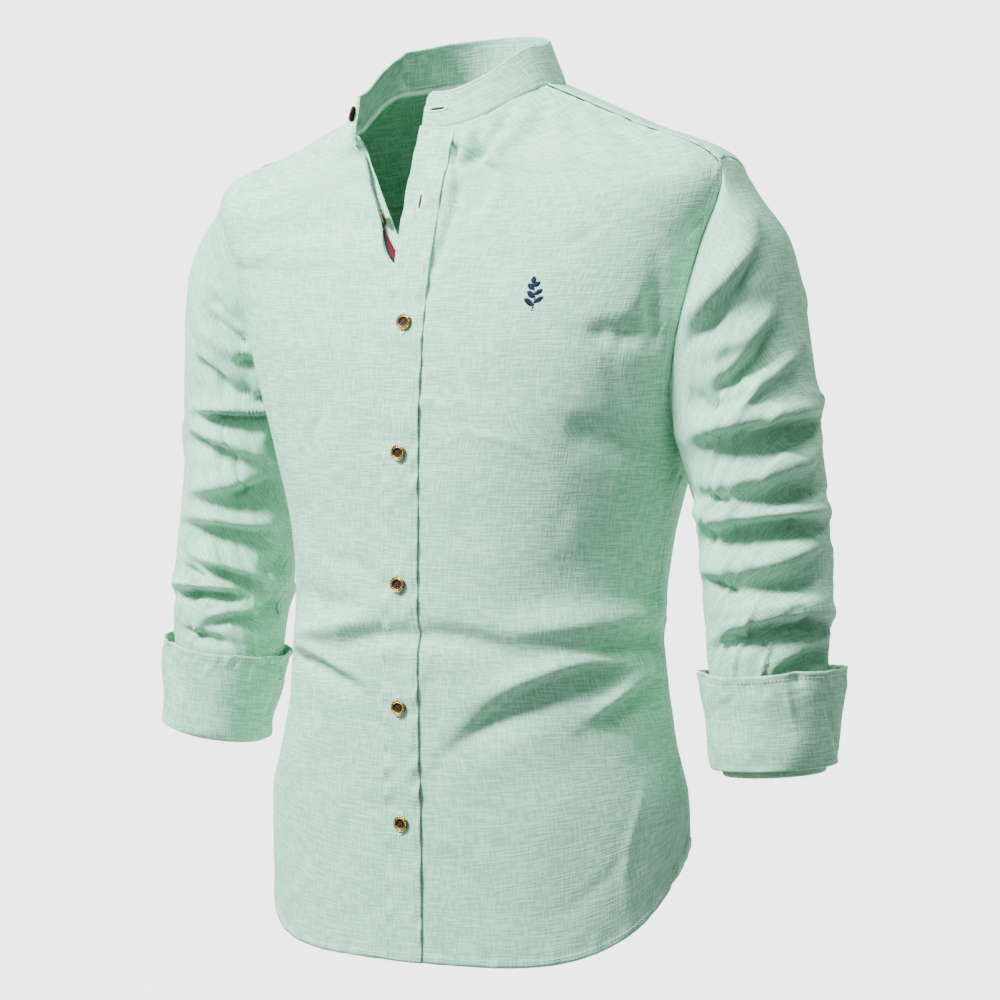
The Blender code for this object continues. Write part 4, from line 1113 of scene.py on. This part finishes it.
# %% The two sleeves
def sleeve_panel(side, seed):
    """A sleeve with its turned-up end, and the tube alone."""
    around = np.linspace(0, 1, 140)[:, None]
    down = np.concatenate([np.linspace(0, 0.06, 12), np.linspace(0.065, 1, 246)])[None, :]
    points = sleeve(around, down, side)
    tube = Panel(points)
    bunched = smooth(tube.low, 0.05, 0.20)
    relief = creases(tube.middle, tube.low, 95, seed, 0.0046, 0.0042, 0.026, 0.15, 0.35) * bunched
    small = creases(tube.middle, tube.low, 30, seed + 1, 0.0016, 0.003, 0.018, 0.9, 0.8)
    relief = relief + small * smooth(tube.low, 0.01, 0.04)
    relief = relief + 0.0007 * uneven(tube.middle, tube.low, 0.06, seed + 2) * smooth(tube.low, 0.0, 0.02)
    relief = relief + seam_relief(tube.first, tube.low, seed + 3, 0.007, 0.0007)
    relief = relief + 0.0005 * step(tube.first, 0.007)
    relief = relief + 0.0010 * puckers(tube.last, tube.low, 0.012, 0.012, seed + 4)
    tube.raise_by(relief * smooth(tube.high, 0.0, 0.02), -side)
    end = tube.points[:, -1]
    away = end - end.mean(axis=0)
    away = away * [1, 1, 0] / np.linalg.norm(away[:, :2], axis=1, keepdims=True)
    radius, angles = 0.0011, np.linspace(1.2, 2, 6) * np.pi
    turn_up = [radius * ((1 + np.cos(a)) * away + np.sin(a) * UPRIGHT) for a in angles]
    turn_up.append(2 * radius * away + 0.0075 * UPRIGHT)
    turned = np.stack([end + shift for shift in turn_up], 1)
    return Panel(np.concatenate([tube.points, turned], axis=1)), tube


sleeves = {}
for side, name, seed in ((1, "left", 61), (-1, "right", 71)):
    whole, sleeves[side] = sleeve_panel(side, seed)
    cloth_piece(f"cloth_sleeve_{name}", whole.points, (0.40, 0.49), f"sleeve_{name}", flip=side == 1)

# %% [markdown]
# ## Cuffs and neck band
#
# A turned-back cuff is two layers with an interlining, so it is stiffer than the sleeve and flares. Its
# lower edge is a soft fold and its upper edge is topstitched. The two ends lap over each other.
# The band is also two layers; its left end is rounded at the top, where it would overlap.

# %% The turned-back cuffs
def cuff_panel(side, seed):
    """A turned-back cuff, from the round of its fold up to its free edge."""
    place = close_at_ends(225, 0.3)[:, None]
    radius = 0.0016
    rows = [cuff(place[:, 0], 0, side, radius * (np.cos(a) - 1)) + [0, 0, radius * np.sin(a)]
            for a in np.linspace(-0.85, 0, 7)[:-1] * np.pi]
    up = np.linspace(0, 1, 40)[None, :]
    points = np.concatenate([np.stack(rows, 1), cuff(place, up, side)], axis=1)
    panel = Panel(points)
    groove = bell(panel.high - HEM_STITCH, 0.0008)
    past_fold = smooth(panel.low, 0.002, 0.012)
    relief = 0.0005 * step(panel.high, 0.0046) - 0.0007 * groove
    relief = relief + 0.0014 * puckers(panel.high - HEM_STITCH, panel.middle, 0.012, 0.012, seed)
    relief = relief + 0.0014 * uneven(panel.middle, panel.low, 0.055, seed + 1)
    relief = relief + creases(panel.middle, panel.low, 22, seed + 2, 0.0022, 0.0035, 0.020, 1.2, 0.5)
    relief = relief + 0.0005 * step(np.minimum(panel.first, panel.last), 0.006)
    panel.raise_by(relief * past_fold, side)
    wavy = 0.0012 * uneven(panel.middle, 0 * panel.low, 0.07, seed + 3)
    panel.points[..., 2] += wavy * smooth(panel.low, 0.0, 0.06)
    return panel


cuffs = {}
for side, name, seed in ((1, "left", 81), (-1, "right", 91)):
    cuffs[side] = cuff_panel(side, seed)
    looks = dict(wall=0.0011, flip=side == -1)
    cloth_piece(f"cloth_cuff_{name}", cuffs[side].points, (0.34, 0.078), f"cuff_{name}", **looks)

# %% The neck band
place, up = close_at_ends(230, 0.3)[:, None], np.linspace(-0.10, 1, 28)[None, :]
collar = Panel(band(place, up, 0.0012))
rounding = 0.009
corner = np.minimum(collar.first, rounding)
sunk = rounding - np.sqrt(np.maximum(rounding**2 - (rounding - corner) ** 2, 0))
collar.points[..., 2] -= sunk * smooth(up, 0.45, 1.0) * 0.9
collar = Panel(collar.points)
edge = np.minimum(np.minimum(collar.high, np.abs(collar.low - 0.0035)), np.minimum(collar.first, collar.last))
relief = -0.0005 * bell(edge - BAND_STITCH, 0.0007) - 0.0003 * bell(edge, 0.0006)
relief = relief - 0.0016 * step(collar.low, 0.0030)
relief = relief + 0.0008 * puckers(edge - BAND_STITCH, collar.middle, 0.014, 0.006, 101)
relief = relief + 0.0004 * uneven(collar.middle, collar.low, 0.05, 102)
relief = relief + creases(collar.middle, collar.low, 12, 103, 0.0006, 0.003, 0.014, 1.4, 0.3)
collar.raise_by(relief)
cloth_piece("cloth_band", collar.points, (0.43, 0.035), "neck_band", wall=0.0016)

# %% [markdown]
# ## Stitches
#
# A topstitch is a row of short thread loops, each dipping into the cloth at both ends. Here each one is
# a slim spindle 2.3 mm long, laid along a line at a given distance from a panel's edge. The thread is
# the same colour as the cloth, a touch lighter, so a row reads as a dotted groove.

# %% Thread
def dull_material(name, colour):
    """A dull material of this colour, for threads and for the painted shade in slits and holes."""
    made, shader, start = new_material(name, 0.75)
    shader.inputs["Base Color"].default_value = colour
    shader.inputs["Specular IOR Level"].default_value = 0.15
    return made


pale_thread = dull_material("pale_thread", (0.60, 0.84, 0.71, 1))
white_thread = dull_material("white_thread", (0.74, 0.88, 0.80, 1))
brown_thread = dull_material("brown_thread", (0.07, 0.035, 0.02, 1))
navy_thread = dull_material("navy_thread", (0.006, 0.012, 0.040, 1))
# Painted shade: a near-black green for the open slits of buttonholes and the holes of buttons, where the
# cloth below lies in shadow.
painted_hole_shade = dull_material("painted_hole_shade", (0.03, 0.05, 0.035, 1))


def spindles(name, starts, ends, faces, thick, material):
    """One mesh of many small spindles between pairs of points, their middles raised along the faces."""
    starts, ends, faces = np.array(starts), np.array(ends), np.array(faces)
    faces = unit(faces)
    way = ends - starts
    beside_it = unit(np.cross(way, faces))
    rings = []
    for share, size in ((0.18, 0.85), (0.5, 1.0), (0.82, 0.85)):
        middle = starts + way * share + faces * thick * 0.30 * size
        for a in (0.25, 0.75, 1.25, 1.75):
            away = np.cos(a * np.pi) * beside_it + np.sin(a * np.pi) * faces
            rings.append(middle + thick * 0.5 * size * away)
    points = np.stack([starts - faces * thick * 0.4] + rings + [ends - faces * thick * 0.4], 1)
    sides = [(0, 1 + (k + 1) % 4, 1 + k) for k in range(4)]
    for ring in (1, 5):
        sides += [(ring + k, ring + (k + 1) % 4, ring + 4 + (k + 1) % 4, ring + 4 + k) for k in range(4)]
    sides += [(9 + k, 9 + (k + 1) % 4, 13) for k in range(4)]
    everything = [tuple(14 * n + corner for corner in side) for n in range(len(starts)) for side in sides]
    mesh = bpy.data.meshes.new(name)
    mesh.from_pydata((points.reshape(-1, 3) - [0, 0, HANG]).tolist(), [], everything)
    mesh.shade_smooth()
    mesh.materials.append(material)
    obj = put(name, mesh)
    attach(obj, "root")


def resampled(points, normals, pitch):
    """The same line with a point every pitch metres."""
    path = np.concatenate([[0], np.cumsum(np.linalg.norm(np.diff(points, axis=0), axis=1))])
    places = np.arange(pitch / 2, path[-1], pitch)
    spots = np.stack([np.interp(places, path, points[:, k]) for k in range(3)], 1)
    faces = np.stack([np.interp(places, path, normals[:, k]) for k in range(3)], 1)
    return spots, faces


def sew(name, lines, flip=1, pitch=0.0031, long=0.0023):
    """Rows of stitches along these lines, each a pair of points and normals."""
    starts, ends, faces = [], [], []
    for points, normals in lines:
        spots, normals = resampled(points, normals * flip, pitch)
        way = np.gradient(spots, axis=0)
        way = unit(way) * long / 2
        starts += list(spots - way)
        ends += list(spots + way)
        faces += list(normals)
    print(name, len(starts), "stitches")
    spindles(name, starts, ends, faces, 0.00068, pale_thread)


def part_of(line, keep):
    """The part of a line whose points satisfy keep."""
    points, normals = line
    chosen = keep(points)
    return points[chosen], normals[chosen]


# %% Topstitching
strip_lines = [hole_strip.line("first", STRIP_STITCH), hole_strip.line("last", STRIP_STITCH)]
strip_lines.append(stand.line("first", STRIP_STITCH))
strip_lines.append(part_of(stand.line("last", STRIP_STITCH), lambda p: p[:, 2] > 0.50))
sew("stitches_strips", strip_lines)
sew("stitches_hem", [panel.line("low", HEM_STITCH) for panel in (left_front, right_front, back)])
seam_lines = [left_front.line("last", SEAM_STITCH), right_front.line("first", SEAM_STITCH)]
seam_lines += [back.line("first", SEAM_STITCH), back.line("last", SEAM_STITCH)]
sew("stitches_seams", seam_lines)
yoke_lines = [yoke.line(edge, far) for edge in ("first", "last") for far in YOKE_STITCHES]
yoke_back = [part_of(yoke.line("low", far), lambda p: np.abs(p[:, 0]) < 0.19) for far in YOKE_STITCHES]
sew("stitches_yoke", yoke_lines + yoke_back)
for side, name in ((1, "left"), (-1, "right")):
    cuff_lines = [cuffs[side].line("high", HEM_STITCH), cuffs[side].line("last", 0.0035)]
    sew(f"stitches_cuff_{name}", cuff_lines, side)
    under_arm = part_of(sleeves[side].line("first", 0.0058), lambda p: p[:, 2] > 0.18)
    sew(f"stitches_sleeve_{name}", [under_arm], -side)
band_lines = [collar.line("high", BAND_STITCH), collar.line("low", 0.0055)]
band_lines += [collar.line("first", BAND_STITCH), collar.line("last", BAND_STITCH)]
sew("stitches_band", band_lines, pitch=0.0028, long=0.0020)


# %% [markdown]
# ## Buttonholes and buttons
#
# A buttonhole is a slit filled with painted shade, with close stitches laid across both of its edges and a
# bar at each end. Those under the buttons show only their ends. The second one from the top and the band's
# are open.
# The buttons are antiqued brass: two raised rims, broken at the left and right by three small beads,
# round a dark sunken middle with crossed thread. Its four holes are painted shade: dark spindles, not
# openings.

# %% Places on the cloth
def on_front(x, height, out, opens):
    """The spot at this height on the front, and which way it faces."""
    rings = np.linspace(0, NECK if abs(x) < 0.06 else 8, 801)
    heights = body(turn_at(x, rings), rings, 0, opens)[:, 2]
    t = float(np.interp(height, heights, rings))
    turn = float(turn_at(x, t))
    near, far = body(turn, t, out, opens), body(turn, t, out + 0.01, opens)
    return near, far - near


def on_panel(panel, spot):
    """The nearest point of a finished panel to a spot, and its normal."""
    gap = np.linalg.norm(panel.points - spot, axis=-1)
    i, j = np.unravel_index(np.argmin(gap), gap.shape)
    return panel.points[i, j], panel.normals()[i, j]


# %% Buttonholes
def buttonhole(name, middle, face, way, long):
    """Close stitches on both sides of a slit, with a bar at each end, and painted shade in the slit."""
    face = unit(face)
    way = unit(way - face * (way @ face))
    beside_it = np.cross(face, way)
    starts, ends = [], []
    for place in np.arange(-long / 2, long / 2, 0.00042):
        for half in (-1, 1):
            spot = middle + way * place
            open_by = 0.0006 * np.cos(np.pi * place / long)
            starts.append(spot + beside_it * half * (0.0004 + open_by))
            ends.append(spot + beside_it * half * (0.0021 + open_by) + way * 0.0001)
    for tip in (-1, 1):
        for place in (0.0, 0.0004, 0.0008):
            spot = middle + way * tip * (long / 2 + place)
            starts.append(spot - beside_it * 0.0020)
            ends.append(spot + beside_it * 0.0020)
    spindles(name, starts, ends, [face] * len(starts), 0.00060, white_thread)
    # The slit is a dark spindle sunk into the cloth: painted shade where the cut lies open.
    slit = middle - face * 0.00055
    spindles(name + "_slit", [slit - way * long / 2], [slit + way * long / 2], [face], 0.0020, painted_hole_shade)


for number, height in enumerate(BUTTON_HEIGHTS + (0.592,)):
    spot, face = on_panel(hole_strip, on_front(0.0, height, STRIP_FACE, False)[0])
    buttonhole(f"buttonhole_{number + 1}", spot, face, UPRIGHT, 0.0162 if number < 5 else 0.0150)
spot, face = on_panel(collar, band(0.030, 0.50, 0.0012))
buttonhole("buttonhole_band", spot, face, band(0.06, 0.5, 0.0012) - spot, 0.0145)

# %% Brass
BRASS_DARK = (0.050, 0.028, 0.012, 1)
BRASS_WORN = (0.52, 0.38, 0.13, 1)
brass, shader, start = new_material("antique_brass", 0.38, 0.9)
worn = start.made("ShaderNodeAttribute", {"attribute_name": "worn"}, 2)
spots = start.made("ShaderNodeTexNoise", Scale=900.0, Detail=4.0)
shine = (worn + (spots - 0.5) * 0.7).between(0.35, 0.85)
start.feed(shader.inputs["Base Color"], shine.blend(BRASS_DARK, BRASS_WORN))
start.feed(shader.inputs["Roughness"], shine.between(0.0, 1.0, 0.62, 0.30))
dents = start.made("ShaderNodeBump", Strength=0.4, Distance=0.0003, Height=spots)
start.feed(shader.inputs["Normal"], dents)


def brass_button():
    """One button: a turned outline with beads in the gap of its rims."""
    edge = BUTTON_ACROSS / 2
    outline = [(0.0, 0.0012), (0.30, 0.00115), (0.52, 0.0012), (0.58, 0.0016), (0.63, 0.0024), (0.68, 0.0026),
               (0.73, 0.0024), (0.76, 0.0020), (0.80, 0.0020), (0.83, 0.0024), (0.88, 0.0027), (0.94, 0.0025),
               (0.985, 0.0020), (1.0, 0.0014), (0.96, 0.0007), (0.80, 0.0003), (0.0, 0.0002)]
    bright = [0.0, 0.05, 0.1, 0.25, 0.85, 1.0, 0.8, 0.1, 0.1, 0.8, 1.0, 0.95, 0.7, 0.3, 0.1, 0.0, 0.0]
    net = bmesh.new()
    layer = net.verts.layers.float.new("worn")
    steps = 56
    rows = []
    for (share, high), shine_here in zip(outline, bright):
        angles = [0.0] if share == 0 else np.arange(steps) * 2 * np.pi / steps
        row = [net.verts.new((share * edge * np.cos(a), share * edge * np.sin(a), high)) for a in angles]
        for corner in row:
            gap = abs(corner.co.x) > 0.9 * share * edge and 0.6 < share < 0.97
            corner[layer] = shine_here * (0.25 if gap else 1.0)
            if gap:
                corner.co.z -= 0.0004
        rows.append(row)
    for low, high in zip(rows, rows[1:]):
        for k in range(steps):
            here = [row[k % len(row)] for row in (low, high)]
            there = [row[(k + 1) % len(row)] for row in (high, low)]
            net.faces.new(list(dict.fromkeys(here + there)))
    for half in (-1, 1):
        for rise in (-0.0014, 0.0, 0.0014):
            made = bmesh.ops.create_icosphere(net, subdivisions=2, radius=0.00060)
            across = half * np.sqrt((0.78 * edge) ** 2 - rise**2)
            for corner in made["verts"]:
                corner.co += Vector((across, rise, 0.0021))
                corner[layer] = 0.9
    mesh = bpy.data.meshes.new("brass_button")
    bmesh.ops.recalc_face_normals(net, faces=net.faces)
    net.to_mesh(mesh)
    net.free()
    mesh.shade_smooth()
    mesh.materials.append(brass)
    return mesh


button_mesh = brass_button()


def place_button(number, spot, face):
    """One brass button, its thread crossing four holes of painted shade, in place of the plain solid."""
    obj = put(f"brass_button_{number}", button_mesh)
    obj.location = tuple(spot - np.array([0, 0, HANG]))
    obj.rotation_mode = "QUATERNION"
    turned = Vector(tuple(face)).to_track_quat("Z", "Y")
    obj.rotation_quaternion = turned
    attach(obj, "root")
    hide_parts(f"button_{number}")
    x, y, z = (np.array(turned @ Vector(axis)) for axis in ((1, 0, 0), (0, 1, 0), (0, 0, 1)))
    middle, hole = spot + z * 0.00135, 0.00125
    corners = [middle + hole * (a * x + b * y) for a, b in ((-1, -1), (1, 1), (-1, 1), (1, -1))]
    ways = [(corners[0], corners[1]), (corners[2], corners[3])] * 2
    shift = [0, 0, 0.00022, 0.00022]
    starts = [a + x * s for (a, _), s in zip(ways, shift)]
    ends = [b + x * s for (_, b), s in zip(ways, shift)]
    thread = pale_thread if number > 5 else brown_thread
    spindles(f"button_thread_{number}", starts, ends, [z] * 4, 0.00050, thread)
    # The four holes are painted shade: dark spindles sunk just below the button's face.
    pits = [corner - z * 0.0001 for corner in corners]
    starts, ends = [pit - x * 0.0006 for pit in pits], [pit + x * 0.0006 for pit in pits]
    spindles(f"button_holes_{number}", starts, ends, [z] * 4, 0.0011, painted_hole_shade)


for number, height in enumerate(BUTTON_HEIGHTS):
    spot, face = on_front(0.0, height, STRIP_FACE + 0.0002, False)
    place_button(number + 1, spot, face)
spot, face = on_front(-0.001, SECOND_BUTTON, STAND_OUT + 0.0018, True)
place_button(6, spot - 0.0050 * np.array(TUCK_BACK), face)
near, far = band(0.972, 0.50, 0.0014), band(0.972, 0.50, 0.01)
place_button(7, near, far - near)

# %% [markdown]
# ## Ribbon, sprig and thread marks
#
# The button stand carries a tape 11 mm wide: a red middle, navy on both sides and pale borders. It lies
# in the fold of the open front and shows below the second button. A small leaf sprig in navy thread is
# sewn on the chest, and the far cuff has two short brown bars.

# %% The striped ribbon
tape, shader, start = new_material("striped_tape", 0.7)
shader.inputs["Specular IOR Level"].default_value = 0.15
_, across, along_it = weave_of(start)
rib_place = start.made("ShaderNodeCombineXYZ", X=across * 300, Y=along_it * 2600)
ribs = start.made("ShaderNodeTexNoise", {"noise_dimensions": "2D"}, Vector=rib_place)
red_part = abs(across) < 0.0026
stripes = red_part.blend((0.002, 0.004, 0.018, 1), (0.15, 0.002, 0.006, 1))
border = abs(across) > 0.0051
coloured = border.blend(stripes, (0.45, 0.60, 0.55, 1))
start.feed(shader.inputs["Base Color"], (ribs * 0.5).blend(coloured, (0.02, 0.02, 0.03, 1)))
bump = start.made("ShaderNodeBump", Strength=0.4, Distance=0.0003, Height=ribs)
start.feed(shader.inputs["Normal"], bump)
ribbon_rows = ring_rows(240)
heights = along(RINGS, ribbon_rows)[:, 0]
ribbon_rows = ribbon_rows[(heights > 0.012) & (heights < RIBBON_TOP)]
sides = np.linspace(RIBBON[0], RIBBON[1], 12)
turns = np.stack([turn_at(x, ribbon_rows) for x in sides])
ribbon = Panel(body(turns, np.broadcast_to(ribbon_rows, turns.shape), STAND_OUT + 0.0008, True))
ribbon.raise_by(0.0002 * uneven(ribbon.low, ribbon.first, 0.03, 121))
obj = bent_grid("tape_ribbon", ribbon.points, tape, (ribbon.first - 0.0055, ribbon.low))
# The stripes are drawn from the tape's middle, so its flat coordinates are moved to have their 0 there.
kept = obj.data.attributes["weave"]
obj_flat = np.empty(len(obj.data.vertices) * 3)
kept.data.foreach_get("vector", obj_flat)
obj_flat = obj_flat.reshape(-1, 3)
obj_flat[:, 0] -= obj_flat[:, 0].mean()
kept.data.foreach_set("vector", obj_flat.ravel())
thick = obj.modifiers.new("wall", "SOLIDIFY")
thick.thickness, thick.offset = 0.0004, -1
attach(obj, "root")
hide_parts("ribbon")


# %% The sprig and the cuff's marks
def on_panel_near(panel, spot):
    """The spot moved along the panel's normal onto its surface."""
    point, normal = on_panel(panel, spot)
    return spot - normal * ((spot - point) @ normal) + normal * 0.0001


def sprig(x, height):
    """A small leaf sprig in satin stitch: a stem with leaves on both sides."""
    starts, ends, faces = [], [], []

    def stitch(ax, az, bx, bz):
        a, face = on_front(x + ax, height + az, 0.0005, False)
        b, _ = on_front(x + bx, height + bz, 0.0005, False)
        a, b = on_panel_near(left_front, a), on_panel_near(left_front, b)
        starts.append(a)
        ends.append(b)
        faces.append(face)

    stem = [(0.0016 * np.sin(k / 3.0) - 0.001, -0.0115 + 0.0021 * k) for k in range(11)]
    for (ax, az), (bx, bz) in zip(stem, stem[1:]):
        stitch(ax, az, bx, bz)
    for k, half in ((2, -1), (3, 1), (5, -1), (6, 1), (8, -1), (9, 1), (10, 0)):
        bx, bz = stem[k]
        size = 0.0098 - 0.00045 * k
        lean = half * 0.95
        for s in np.linspace(0.1, 1.0, 12):
            wide = 0.0023 * np.sin(np.pi * s) ** 0.7 + 0.0002
            cx, cz = bx + np.sin(lean) * size * s, bz + np.cos(lean) * size * s
            dx, dz = wide * np.cos(lean), wide * np.sin(lean)
            stitch(cx - dx, cz + dz, cx + dx, cz - dz + 0.0004)
    spindles("sprig_thread", starts, ends, faces, 0.00095, navy_thread)


sprig(0.107, 0.519)

starts, ends, faces = [], [], []
for sweep, height in ((98, 0.198), (112, 0.194)):
    a = np.radians(sweep)
    beside_cuff = np.array([0.048 * np.sin(a) - 0.256, 0.0145 - 0.050 * np.cos(a), height])
    spot, face = on_panel(cuffs[-1], beside_cuff)
    way = 0.0013 * np.cross(UPRIGHT, face)
    starts.append(spot - way)
    ends.append(spot + way)
    faces.append(-face)
spindles("cuff_marks", starts, ends, faces, 0.0011, brown_thread)
print("sprig and marks sewn")
